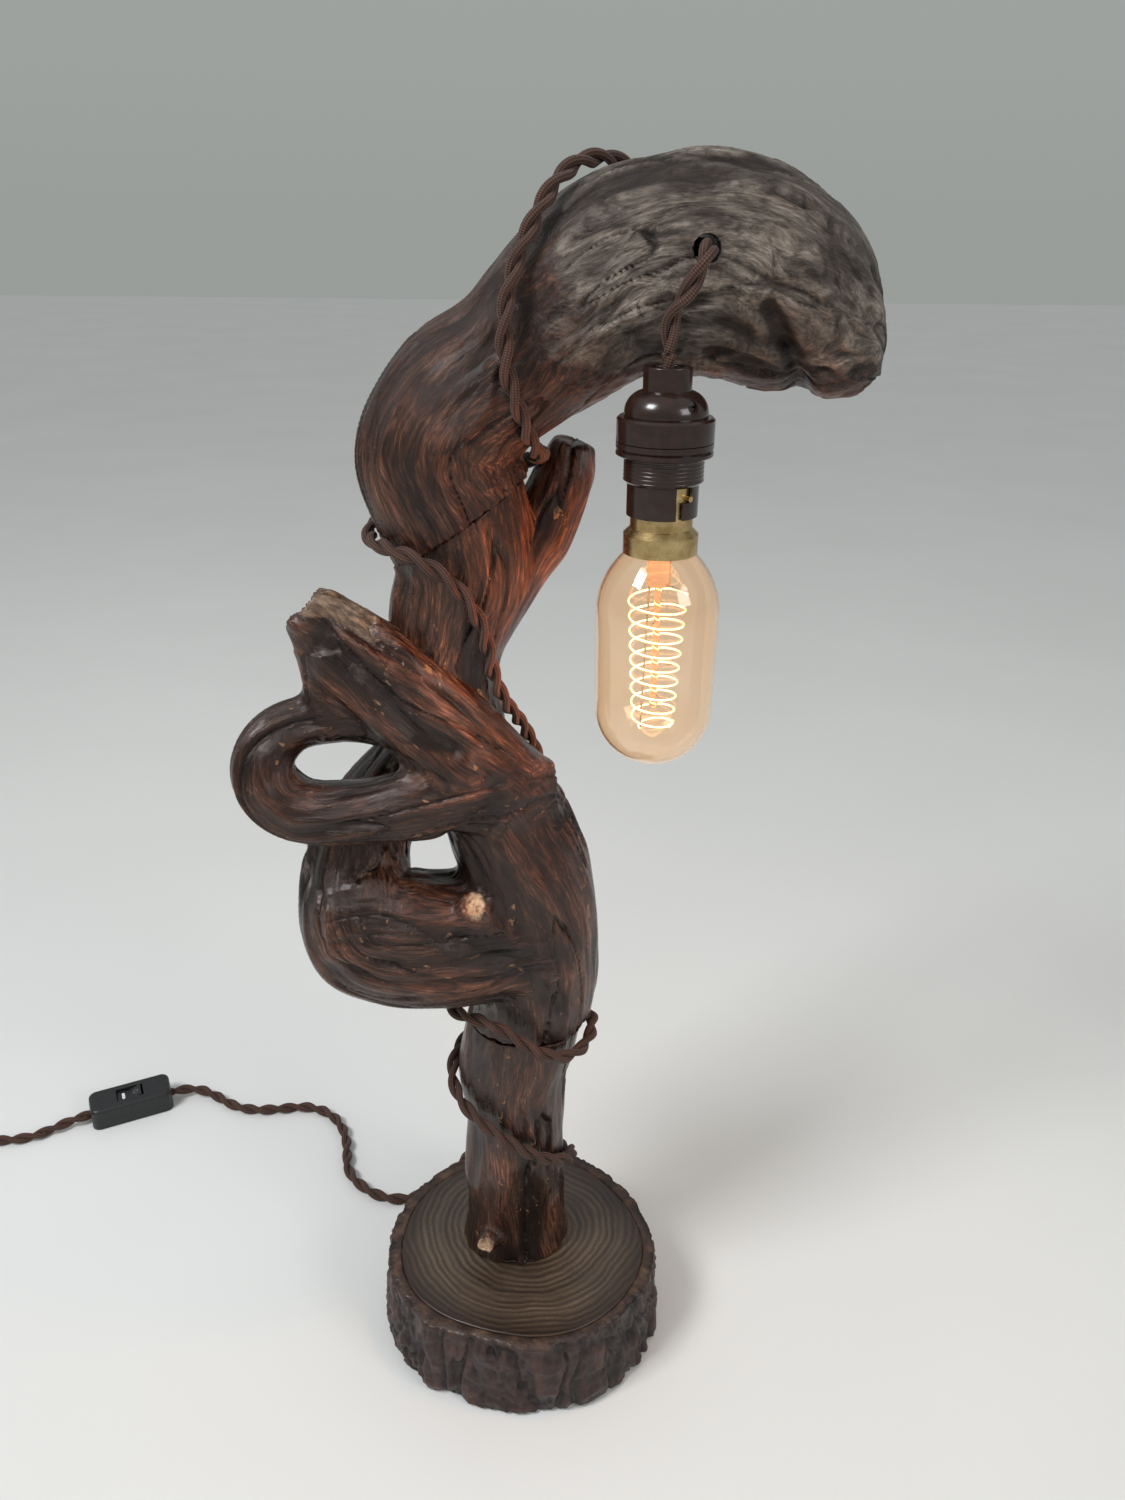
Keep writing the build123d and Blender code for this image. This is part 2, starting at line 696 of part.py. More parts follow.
def wind(place, times, lead=0.0):
    """Pairs of tangent arcs through place(t), with a straight lead at both ends."""
    step = 0.001
    spots = [place(t) for t in times]
    ways = [(place(t + step) - place(t - step)).normalized() for t in times]
    with BuildLine() as path:
        if lead:
            Line(spots[0] - ways[0] * lead, spots[0])
        for start, stop, way, next_way in zip(spots, spots[1:], ways, ways[1:]):
            chord = stop - start
            both = way + next_way
            a = 2 * (1 - way.dot(next_way))
            b = 2 * chord.dot(both)
            reach = (sqrt(b * b + 4 * a * chord.dot(chord)) - b) / (2 * a)
            middle = (start + stop + (way - next_way) * reach) / 2
            TangentArc(start, middle, tangent=way)
            TangentArc(middle, stop, tangent=chord - both * reach)
        if lead:
            Line(spots[-1], spots[-1] + ways[-1] * lead)
    return path.wire()


def quarters(turns):
    """Times a quarter turn apart, from none to the given turns."""
    whole = int(4 * turns)
    return [number / 4 for number in range(whole + 1)] + ([turns] if 4 * turns > whole else [])


def least_gap(place, turns, diameter):
    """The least gap between turns of a wound tube, on points a hundredth of a turn apart."""
    spots = [place(number / 100) for number in range(int(100 * turns) + 1)]
    nearest = min(
        (spots[near] - spots[far]).length
        for near in range(len(spots))
        for far in range(near + 50, len(spots))
    )
    return nearest - diameter


# Lampholder cap: collar, dome and rim, screwed over the body
with BuildPart() as holder_cap:
    bore = FLEX_DIAMETER / 2 + FLEX_FIT
    collar = COLLAR_DIAMETER / 2
    dome = DOME_DIAMETER / 2
    rim = RIM_DIAMETER / 2
    seat = THREAD_DIAMETER / 2 + THREAD_FIT
    slant = sin(radians(45))
    with BuildSketch(PENDANT_PLANE):
        with BuildLine():
            Polyline(
                (bore, DOME_TOP - CAP_WALL),
                (bore, DOME_TOP),
                (COLLAR_MOUTH / 2, HOLDER_TOP),
                (collar, HOLDER_TOP),
                (collar, DOME_TOP),
            )
            ThreePointArc(
                (collar, DOME_TOP),
                (collar + (dome - collar) * slant, RIM_TOP + DOME_HEIGHT * slant),
                (dome, RIM_TOP),
            )
            Polyline(
                (dome, RIM_TOP),
                (rim - RIM_ROUND, RIM_TOP),
                (rim, RIM_TOP - RIM_ROUND),
                (rim, RIM_BOTTOM),
                (seat, RIM_BOTTOM),
                (seat, BODY_TOP + SEAT_FIT),
                (dome - CAP_WALL, BODY_TOP + SEAT_FIT),
                (dome - CAP_WALL, RIM_TOP),
            )
            ThreePointArc(
                (dome - CAP_WALL, RIM_TOP),
                (bore + (dome - CAP_WALL - bore) * slant, RIM_TOP + (DOME_HEIGHT - CAP_WALL) * slant),
                (bore, DOME_TOP - CAP_WALL),
            )
        make_face()
    revolve(axis=PENDANT_AXIS)
    with BuildSketch(facing(LOCK_BEARING, RIM_TOP + DOME_HEIGHT / 2)):
        Circle(LOCK_SCREW_DIAMETER / 2 + SEAT_FIT)
    extrude(amount=RIM_DIAMETER, mode=Mode.SUBTRACT)
    fillet(holder_cap.edges().group_by(Axis.Z)[-1], radius=RIM_ROUND / 2)
finish(holder_cap, "holder_cap")

# Locking screw in the dome, slotted
with BuildPart() as locking_screw:
    lock_plane = facing(LOCK_BEARING, RIM_TOP + DOME_HEIGHT / 2).offset(DOME_DIAMETER / 2 - CAP_WALL)
    with BuildSketch(lock_plane):
        Circle(LOCK_SCREW_DIAMETER / 2)
    extrude(amount=-LOCK_SCREW_LENGTH)
    with BuildSketch(lock_plane):
        Rectangle(LOCK_SCREW_DIAMETER, LOCK_SCREW_SLOT)
    extrude(amount=-LOCK_SCREW_SLOT, mode=Mode.SUBTRACT)
finish(locking_screw, "locking_screw")

# Lampholder body: thread, barrel, ledge and two bayonet slots
with BuildPart() as holder_body:
    barrel = BARREL_DIAMETER / 2
    thread = THREAD_DIAMETER / 2
    seat = INSULATOR_DIAMETER / 2 + SEAT_FIT
    with BuildSketch(PENDANT_PLANE):
        with BuildLine():
            Polyline(
                (BARREL_BORE / 2, BARREL_BOTTOM),
                (barrel, BARREL_BOTTOM),
                (barrel, THREAD_BOTTOM - BARREL_STEP),
                (thread, THREAD_BOTTOM),
                (thread, BODY_TOP),
                (seat, BODY_TOP),
                (seat, INSULATOR_BOTTOM),
                (LEDGE_BORE / 2, INSULATOR_BOTTOM),
                (LEDGE_BORE / 2, LEDGE_BOTTOM),
                (BARREL_BORE / 2, LEDGE_BOTTOM),
                close=True,
            )
        make_face()
    revolve(axis=PENDANT_AXIS)
    slot = PIN_DIAMETER + 2 * SLOT_GAP
    window = PIN_SPAN * sin(radians(BULB_TURN / 2)) + slot
    for side in (0, 180):
        with BuildSketch(facing(PIN_BEARING - BULB_TURN / 2 + side, PIN_Z + BULB_PUSH / 2)):
            Rectangle(window, BULB_PUSH + slot)
        extrude(amount=BARREL_DIAMETER, mode=Mode.SUBTRACT)
        with BuildSketch(facing(PIN_BEARING - BULB_TURN + side, BARREL_BOTTOM)):
            Rectangle(slot, PIN_RISE + BULB_PUSH + slot / 2, align=(Align.CENTER, Align.MIN))
        extrude(amount=BARREL_DIAMETER, mode=Mode.SUBTRACT)
finish(holder_body, "holder_body")

# Shade ring on the thread, grooved for the fingers
with BuildPart() as shade_ring:
    rim = RIM_DIAMETER / 2
    middle = (RING_TOP + RING_BOTTOM) / 2
    with BuildSketch(PENDANT_PLANE):
        with BuildLine():
            Polyline(
                (THREAD_DIAMETER / 2 + SLOT_GAP, RING_BOTTOM),
                (rim - 2 * RIM_ROUND, RING_BOTTOM),
                (rim, RING_BOTTOM + RIM_ROUND),
                (rim, middle - RING_GROOVE),
                (rim - RING_GROOVE, middle),
                (rim, middle + RING_GROOVE),
                (rim, RING_TOP),
                (THREAD_DIAMETER / 2 + SLOT_GAP, RING_TOP),
                close=True,
            )
        make_face()
    revolve(axis=PENDANT_AXIS)
finish(shade_ring, "shade_ring")

# Insulator with the plungers' bores and the terminals' holes
contacts = [(CONTACT_SPREAD, 0), (-CONTACT_SPREAD, 0)]
terminals = [(TERMINAL_SPREAD, 0), (-TERMINAL_SPREAD, 0)]
with BuildPart() as holder_insulator:
    with BuildSketch(level(INSULATOR_BOTTOM)):
        Circle(INSULATOR_DIAMETER / 2)
    extrude(amount=BODY_TOP - INSULATOR_BOTTOM)
    with BuildSketch(level(INSULATOR_BOTTOM)):
        with Locations(*contacts):
            Circle(PLUNGER_DIAMETER / 2 + PLUNGER_FIT)
    extrude(amount=SPRING_CEILING - INSULATOR_BOTTOM, mode=Mode.SUBTRACT)
    with BuildSketch(level(BODY_TOP)):
        with Locations(*terminals):
            Circle(TERMINAL_DIAMETER / 2 + SEAT_FIT)
    extrude(amount=-TERMINAL_LENGTH - SEAT_FIT, mode=Mode.SUBTRACT)
finish(holder_insulator, "holder_insulator")

with BuildPart() as terminal_screws:
    with BuildSketch(level(BODY_TOP)):
        with Locations(*terminals):
            Circle(TERMINAL_DIAMETER / 2)
    extrude(amount=-TERMINAL_LENGTH)
    with BuildSketch(level(BODY_TOP)):
        with Locations(*terminals):
            Circle(TERMINAL_HEAD / 2)
    extrude(amount=TERMINAL_HEAD_HEIGHT)
finish(terminal_screws, "terminal_screws")

# Contact plungers and the springs behind them
with BuildPart() as plungers:
    with BuildSketch(level(PLUNGER_BOTTOM)):
        with Locations(*contacts):
            Circle(PLUNGER_DIAMETER / 2)
    extrude(amount=PLUNGER_LENGTH)
    chamfer(plungers.edges().group_by(Axis.Z)[0], length=PLUNGER_DIAMETER / 10)
finish(plungers, "plungers")


def spring_place(side):
    """The line of the spring over one plunger, as a function of its turns."""
    middle = from_axis(side * CONTACT_SPREAD, PIN_BEARING + 90, 0)
    radius = (SPRING_DIAMETER - SPRING_WIRE) / 2
    start = PLUNGER_TOP + SPRING_WIRE / 2 + CONTACT_GAP
    climb = SPRING_ROOM - SPRING_WIRE - 2 * CONTACT_GAP

    def place(turn):
        angle = 2 * pi * turn
        return middle + Vector(radius * cos(angle), radius * sin(angle), start + climb * turn / SPRING_TURNS)

    return place


with BuildPart() as plunger_springs:
    for side in (1, -1):
        spring_line = wind(spring_place(side), quarters(SPRING_TURNS))
        with BuildSketch(Plane(origin=spring_line @ 0, z_dir=spring_line % 0)):
            Circle(SPRING_WIRE / 2)
        sweep(path=spring_line)
print("spring gap %.2f" % least_gap(spring_place(1), SPRING_TURNS, SPRING_WIRE))
finish(plunger_springs, "plunger_springs")

# Bulb cap: brass shell and skirt, with its bead, contacts and pins
with BuildPart() as bulb_cap:
    shell = SHELL_DIAMETER / 2
    skirt = SKIRT_DIAMETER / 2
    mitre = SHELL_WALL * tan(radians(22.5))
    with BuildSketch(PENDANT_PLANE):
        with BuildLine():
            Polyline(
                (shell - SHELL_WALL, BEAD_TOP),
                (shell, BEAD_TOP),
                (shell, SKIRT_TOP),
                (skirt, SHOULDER_BOTTOM),
                (skirt, SKIRT_BOTTOM),
                (skirt - SHELL_WALL, SKIRT_BOTTOM),
                (skirt - SHELL_WALL, SHOULDER_BOTTOM - mitre),
                (shell - SHELL_WALL, SKIRT_TOP - mitre),
                close=True,
            )
        make_face()
    revolve(axis=PENDANT_AXIS)
finish(bulb_cap, "bulb_cap")

with BuildPart() as bayonet_pins:
    for side in (0, 180):
        with BuildSketch(facing(PIN_BEARING + side, PIN_Z).offset(SHELL_DIAMETER / 2 + PIN_FIT)):
            Circle(PIN_DIAMETER / 2)
        extrude(amount=(PIN_SPAN - SHELL_DIAMETER) / 2 - PIN_FIT)
finish(bayonet_pins, "bayonet_pins")

with BuildPart() as cap_glass:
    with BuildSketch(level(BEAD_BOTTOM)):
        Circle(SHELL_DIAMETER / 2 - SHELL_WALL - SEAT_FIT)
        with Locations(*contacts):
            Circle(CONTACT_DIAMETER / 2 + SEAT_FIT, mode=Mode.SUBTRACT)
    extrude(amount=BEAD_THICKNESS)
finish(cap_glass, "cap_glass")

with BuildPart() as cap_contacts:
    with BuildSketch(level(BEAD_BOTTOM)):
        with Locations(*contacts):
            Circle(CONTACT_DIAMETER / 2)
    extrude(amount=BEAD_THICKNESS + CONTACT_HEIGHT)
    fillet(cap_contacts.edges().group_by(Axis.Z)[-1], radius=CONTACT_HEIGHT / 2)
finish(cap_contacts, "cap_contacts")

# Glass of the bulb
GLASS_NECK = SKIRT_DIAMETER / 2 - SHELL_WALL - GLASS_FIT
GLASS_BOTTOM = SKIRT_BOTTOM - GLASS_LENGTH
END_MIDDLE = GLASS_BOTTOM + GLASS_DIAMETER / 2 - GLASS_TAPER
with BuildPart() as bulb_glass:
    with BuildSketch(PENDANT_PLANE):
        for inset, mode in ((0, Mode.ADD), (GLASS_WALL, Mode.SUBTRACT)):
            aslant = inset * sin(radians(45))
            body = GLASS_DIAMETER / 2 - inset
            with BuildLine():
                Polyline((0, SEAL_TOP), (GLASS_NECK - inset, SEAL_TOP), (GLASS_NECK - inset, SKIRT_BOTTOM))
                Spline(
                    (GLASS_NECK - inset, SKIRT_BOTTOM),
                    (GLASS_MID_RADIUS - aslant, SKIRT_BOTTOM - GLASS_MID_DROP - aslant),
                    (body, SKIRT_BOTTOM - GLASS_SHOULDER),
                    tangents=((1, -1), (0, -1)),
                )
                Line((body, SKIRT_BOTTOM - GLASS_SHOULDER), (body - GLASS_TAPER, END_MIDDLE))
                RadiusArc((body - GLASS_TAPER, END_MIDDLE), (0, GLASS_BOTTOM + inset), body - GLASS_TAPER)
                Line((0, GLASS_BOTTOM + inset), (0, SEAL_TOP))
            make_face(mode=mode)
    revolve(axis=PENDANT_AXIS)
finish(bulb_glass, "bulb_glass")

# Stem of the bulb: flare, press and rod with its button
with BuildPart() as bulb_stem:
    flare = GLASS_NECK - GLASS_WALL - SEAT_FIT
    press = STEM_DIAMETER / 2
    button = STEM_BOTTOM - ROD_LENGTH
    with BuildSketch(PENDANT_PLANE):
        with BuildLine():
            Polyline(
                (0, SEAL_TOP),
                (flare, SEAL_TOP),
                (flare, SEAL_TOP - FLARE_THICKNESS),
                (press, SKIRT_BOTTOM),
                (press, STEM_BOTTOM),
                (ROD_DIAMETER / 2, STEM_BOTTOM),
                (ROD_DIAMETER / 2, button + ROD_DIAMETER),
                (BUTTON_DIAMETER / 2, button + ROD_DIAMETER / 2),
                (ROD_DIAMETER / 2, button),
                (0, button),
                close=True,
            )
        make_face()
    revolve(axis=PENDANT_AXIS)
finish(bulb_stem, "bulb_stem")


def filament_place(turn):
    """The line of the filament: a helix that narrows downwards and closes in over its last half turn."""
    share = turn / FILAMENT_TURNS
    radius = FILAMENT_TOP_RADIUS + (FILAMENT_FOOT_RADIUS - FILAMENT_TOP_RADIUS) * share
    closing = max(0.0, 2 * (turn - FILAMENT_TURNS) + 1)
    radius += (FILAMENT_TAIL_RADIUS - radius) * closing ** 2
    return from_axis(radius, 360 * turn, FILAMENT_TOP - FILAMENT_HEIGHT * share)


with BuildPart() as filament:
    filament_line = wind(filament_place, quarters(FILAMENT_TURNS))
    with BuildSketch(Plane(origin=filament_line @ 0, z_dir=filament_line % 0)):
        Circle(FILAMENT_WIRE / 2)
    sweep(path=filament_line)
print("filament gap %.2f" % least_gap(filament_place, FILAMENT_TURNS, FILAMENT_WIRE))
finish(filament, "filament")

# Wires that carry the filament
wire_rise = Vector(0, 0, (FILAMENT_WIRE + LEAD_WIRE) / 2 + WIRE_GAP)
lead_top = STEM_BOTTOM - LEAD_WIRE / 2 - WIRE_GAP
with BuildPart() as lead_wires:
    rod(from_axis(LEAD_SPREAD, 0, lead_top), filament_place(0) + wire_rise, LEAD_WIRE)
    rod(from_axis(LEAD_SPREAD, 180, lead_top), filament_place(FILAMENT_TURNS) + wire_rise, LEAD_WIRE)
finish(lead_wires, "lead_wires")

with BuildPart() as support_wires:
    for turn in SUPPORT_TURNS:
        hold = filament_place(turn)
        middle = Vector(PENDANT_X, PENDANT_Y, hold.Z)
        outward = (hold - middle).normalized()
        rod(
            middle + outward * (ROD_DIAMETER / 2 + WIRE_GAP),
            hold - outward * (FILAMENT_WIRE / 2 + WIRE_GAP),
            SUPPORT_WIRE,
        )
finish(support_wires, "support_wires")

# Inline switch
SWITCH_TURN = radians(SWITCH_BEARING)
SWITCH = Plane(
    origin=(SWITCH_X, SWITCH_Y, 0), x_dir=(cos(SWITCH_TURN), sin(SWITCH_TURN), 0), z_dir=UPRIGHT
)
SWITCH_ENDS = Plane(origin=(SWITCH_X, SWITCH_Y, SWITCH_FLEX_Z), x_dir=(0, 0, 1), z_dir=SWITCH.x_dir)
PIVOT_Z = SWITCH_HEIGHT - ROCKER_PIVOT_DROP
SWITCH_PIVOT = Plane(origin=(SWITCH_X, SWITCH_Y, PIVOT_Z), x_dir=SWITCH.x_dir, z_dir=-SWITCH.y_dir)
switch_fixings = [(SWITCH_SCREW_X, -SWITCH_SCREW_Y), (-SWITCH_SCREW_X, SWITCH_SCREW_Y)]
inner_length = SWITCH_LENGTH - 2 * SWITCH_WALL
inner_width = SWITCH_WIDTH - 2 * SWITCH_WALL
inner_corner = SWITCH_CORNER - SWITCH_WALL

with BuildPart() as switch_bottom:
    with BuildSketch(SWITCH):
        RectangleRounded(SWITCH_LENGTH, SWITCH_WIDTH, SWITCH_CORNER)
    extrude(amount=SWITCH_SEAM)
    chamfer(switch_bottom.edges().group_by(Axis.Z)[0], length=SWITCH_WALL / 3)
    with BuildSketch(SWITCH.offset(SWITCH_WALL)):
        RectangleRounded(inner_length, inner_width, inner_corner)
    extrude(amount=SWITCH_SEAM, mode=Mode.SUBTRACT)
    with BuildSketch(SWITCH.offset(SWITCH_WALL)):
        with Locations(*switch_fixings):
            Circle(SWITCH_BOSS / 2)
    extrude(amount=SWITCH_SEAM - SWITCH_WALL)
    with BuildSketch(SWITCH):
        with Locations(*switch_fixings):
            Circle(SWITCH_SCREW_HEAD / 2 + SEAT_FIT)
    extrude(amount=SWITCH_SCREW_HEAD_HEIGHT + SEAT_FIT, mode=Mode.SUBTRACT)
    with BuildSketch(SWITCH):
        with Locations(*switch_fixings):
            Circle(SWITCH_SCREW_DIAMETER / 2 + SEAT_FIT)
    extrude(amount=SWITCH_SEAM, mode=Mode.SUBTRACT)
    with BuildSketch(SWITCH_ENDS):
        Circle(FLEX_DIAMETER / 2 + FLEX_FIT)
    extrude(amount=SWITCH_LENGTH, both=True, mode=Mode.SUBTRACT)
finish(switch_bottom, "switch_bottom")

with BuildPart() as switch_top:
    with BuildSketch(SWITCH.offset(SWITCH_SEAM + SWITCH_SEAM_GAP)):
        RectangleRounded(SWITCH_LENGTH, SWITCH_WIDTH, SWITCH_CORNER)
    extrude(amount=SWITCH_HEIGHT - SWITCH_SEAM - SWITCH_SEAM_GAP)
    fillet(switch_top.edges().group_by(Axis.Z)[-1], radius=SWITCH_ROUND)
    with BuildSketch(SWITCH.offset(SWITCH_HEIGHT - SWITCH_ROOF)):
        RectangleRounded(inner_length, inner_width, inner_corner)
    extrude(amount=-SWITCH_HEIGHT, mode=Mode.SUBTRACT)
    with BuildSketch(SWITCH.offset(SWITCH_HEIGHT - SWITCH_ROOF)):
        with Locations(*switch_fixings):
            Circle(SWITCH_BOSS / 2)
    extrude(amount=SWITCH_SEAM + SWITCH_SEAM_GAP - SWITCH_HEIGHT + SWITCH_ROOF)
    lug_y = ROCKER_WIDTH / 2 + ROCKER_GAP + LUG_THICKNESS / 2
    with BuildSketch(SWITCH.offset(SWITCH_HEIGHT - SWITCH_ROOF)):
        with Locations((0, lug_y), (0, -lug_y)):
            Rectangle(LUG_LENGTH, LUG_THICKNESS)
    extrude(amount=-LUG_LENGTH)
    with BuildSketch(SWITCH.offset(SWITCH_SEAM)):
        with Locations(*switch_fixings):
            Circle(SWITCH_SCREW_DIAMETER / 2 + SEAT_FIT)
    extrude(amount=SWITCH_SCREW_LENGTH - SWITCH_SEAM + 2 * SEAT_FIT, mode=Mode.SUBTRACT)
    with BuildSketch(SWITCH.offset(SWITCH_HEIGHT)):
        Rectangle(
            sqrt(ROCKER_LENGTH ** 2 + 4 * ROCKER_RISE ** 2) + 2 * ROCKER_GAP, ROCKER_WIDTH + 2 * ROCKER_GAP
        )
    extrude(amount=-SWITCH_ROOF, mode=Mode.SUBTRACT)
    with BuildSketch(SWITCH_PIVOT):
        Circle(AXLE_DIAMETER / 2 + PIN_FIT)
    extrude(amount=lug_y + LUG_THICKNESS, both=True, mode=Mode.SUBTRACT)
    with BuildSketch(SWITCH_ENDS):
        Circle(FLEX_DIAMETER / 2 + FLEX_FIT)
    extrude(amount=SWITCH_LENGTH, both=True, mode=Mode.SUBTRACT)
finish(switch_top, "switch_top")

with BuildPart() as switch_axle:
    with BuildSketch(SWITCH_PIVOT):
        Circle(AXLE_DIAMETER / 2)
    extrude(amount=lug_y + LUG_THICKNESS / 2, both=True)
finish(switch_axle, "switch_axle")

# Rocker, stored with the marked end down
with BuildPart() as switch_rocker:
    tilt = radians(ROCKER_TILT)
    sloping = SWITCH.x_dir * cos(tilt) + UPRIGHT * sin(tilt)
    half = ROCKER_LENGTH / 2
    with BuildSketch(Plane(origin=SWITCH_PIVOT.origin, x_dir=sloping, z_dir=SWITCH_PIVOT.z_dir)):
        with BuildLine():
            Polyline(
                (-half, ROCKER_RISE),
                (0, ROCKER_MIDDLE),
                (half, ROCKER_RISE),
                (half - ROCKER_TAPER, -ROCKER_SHOULDER),
                (ROCKER_SHOULDER, -ROCKER_KEEL),
                (-ROCKER_SHOULDER, -ROCKER_KEEL),
                (ROCKER_TAPER - half, -ROCKER_SHOULDER),
                close=True,
            )
        make_face()
        Circle(AXLE_DIAMETER / 2 + AXLE_FIT, mode=Mode.SUBTRACT)
    extrude(amount=ROCKER_WIDTH / 2, both=True)
finish(switch_rocker, "switch_rocker")

with BuildPart() as switch_contacts:
    with BuildSketch(SWITCH.offset(SWITCH_WALL)):
        with Locations((CONTACT_POST_X, 0), (-CONTACT_POST_X, 0)):
            Rectangle(CONTACT_POST_LENGTH, CONTACT_POST_WIDTH)
    extrude(amount=CONTACT_POST_HEIGHT)
finish(switch_contacts, "switch_contacts")

with BuildPart() as switch_screws:
    with BuildSketch(SWITCH.offset(SEAT_FIT)):
        with Locations(*switch_fixings):
            Circle(SWITCH_SCREW_HEAD / 2)
    extrude(amount=SWITCH_SCREW_HEAD_HEIGHT)
    with BuildSketch(SWITCH.offset(SEAT_FIT)):
        with Locations(*switch_fixings):
            Circle(SWITCH_SCREW_DIAMETER / 2)
    extrude(amount=SWITCH_SCREW_LENGTH)
finish(switch_screws, "switch_screws")

# Coil of spare flex: it winds in, climbs a layer and winds out again
COIL_Z = FLEX_DIAMETER / 2 + TIE_THICKNESS + TIE_GAP
COIL_PITCH = FLEX_DIAMETER + COIL_TURN_GAP
COIL_BACK = COIL_TURNS_IN + 0.25


def coil_radius(turn):
    """Distance of the coil's line from its middle."""
    return COIL_RADIUS + COIL_PITCH * (abs(turn - COIL_BACK) - COIL_BACK)


def coil_place(turn):
    """The line of the coil, as a function of its turns."""
    climb = min(max(2 * (turn - COIL_TURNS_IN), 0), 1)
    angle = 2 * pi * turn + pi / 2
    return Vector(
        COIL_X + coil_radius(turn) * cos(angle),
        COIL_Y + coil_radius(turn) * sin(angle),
        COIL_Z + COIL_PITCH * (1 - cos(pi * climb)) / 2,
    )


with BuildPart() as flex_coil:
    coil_line = wind(coil_place, quarters(COIL_TURNS), FLEX_DIAMETER)
    with BuildSketch(Plane(origin=coil_line @ 0, z_dir=coil_line % 0)):
        Circle(FLEX_DIAMETER / 2)
    sweep(path=coil_line)
print("coil gap %.2f length %.0f" % (least_gap(coil_place, COIL_TURNS, FLEX_DIAMETER), coil_line.length))
finish(flex_coil, "flex_coil")

# Tie round the coil's bundle, where the turns on both layers lie one over the other
with BuildPart() as coil_tie:
    near = coil_radius(COIL_TURNS_IN - 0.25) - FLEX_DIAMETER / 2 - TIE_SLACK
    far = coil_radius(0.75) + FLEX_DIAMETER / 2 + TIE_SLACK
    tall = COIL_PITCH + FLEX_DIAMETER + 2 * TIE_GAP
    middle = Vector(COIL_X + (near + far) / 2, COIL_Y, TIE_THICKNESS + tall / 2)
    with BuildSketch(Plane(origin=middle, x_dir=(1, 0, 0), z_dir=(0, -1, 0))):
        RectangleRounded(far - near + 2 * TIE_THICKNESS, tall + 2 * TIE_THICKNESS, 2 * TIE_THICKNESS)
        RectangleRounded(far - near, tall, TIE_THICKNESS, mode=Mode.SUBTRACT)
    extrude(amount=TIE_WIDTH / 2, both=True)
finish(coil_tie, "coil_tie")

# Plug
coil_end = coil_line @ 1
coil_way = coil_line % 1
plug_start = coil_end + coil_way * PLUG_TAIL
PLUG_SEAM = plug_start.Z
PLUG = Plane(origin=(plug_start.X, plug_start.Y, 0), x_dir=coil_way, z_dir=UPRIGHT)
PLUG_CORD = Plane(origin=plug_start, x_dir=UPRIGHT, z_dir=coil_way)


def plug_outline(height, inset):
    """The plug's outline at a height, drawn in by a distance."""
    with BuildSketch(PLUG.offset(height)) as outline:
        Polygon(
            (0, -PLUG_WIDTH / 2),
            (PLUG_FLANK, -PLUG_WIDTH / 2),
            (PLUG_LENGTH, -PLUG_NOSE / 2),
            (PLUG_LENGTH, PLUG_NOSE / 2),
            (PLUG_FLANK, PLUG_WIDTH / 2),
            (0, PLUG_WIDTH / 2),
            align=None,
        )
        fillet(outline.vertices(), radius=PLUG_CORNER)
        if inset:
            offset(amount=-inset, mode=Mode.REPLACE)
    return outline.sketch


line_pins = [(PIN_LINE_X, PIN_PITCH / 2), (PIN_LINE_X, -PIN_PITCH / 2)]
earth_pin = (PIN_LINE_X + PIN_PITCH, 0)

with BuildPart() as plug_cover:
    extrude(plug_outline(0, 0), amount=PLUG_SEAM)
    fillet(plug_cover.edges().group_by(Axis.Z)[0], radius=PLUG_ROUND)
    extrude(plug_outline(PLUG_WALL, PLUG_WALL), amount=PLUG_SEAM, mode=Mode.SUBTRACT)
    with BuildSketch(PLUG.offset(PLUG_WALL)):
        with Locations((PLUG_SCREW_X, 0)):
            Circle(PLUG_BOSS / 2)
            Circle(PLUG_SCREW_DIAMETER / 2 + SEAT_FIT, mode=Mode.SUBTRACT)
    extrude(amount=PLUG_SEAM - PLUG_WALL)
    with BuildSketch(PLUG_CORD):
        Circle(FLEX_DIAMETER / 2 + FLEX_FIT)
    extrude(amount=PLUG_WALL, both=True, mode=Mode.SUBTRACT)
finish(plug_cover, "plug_cover")

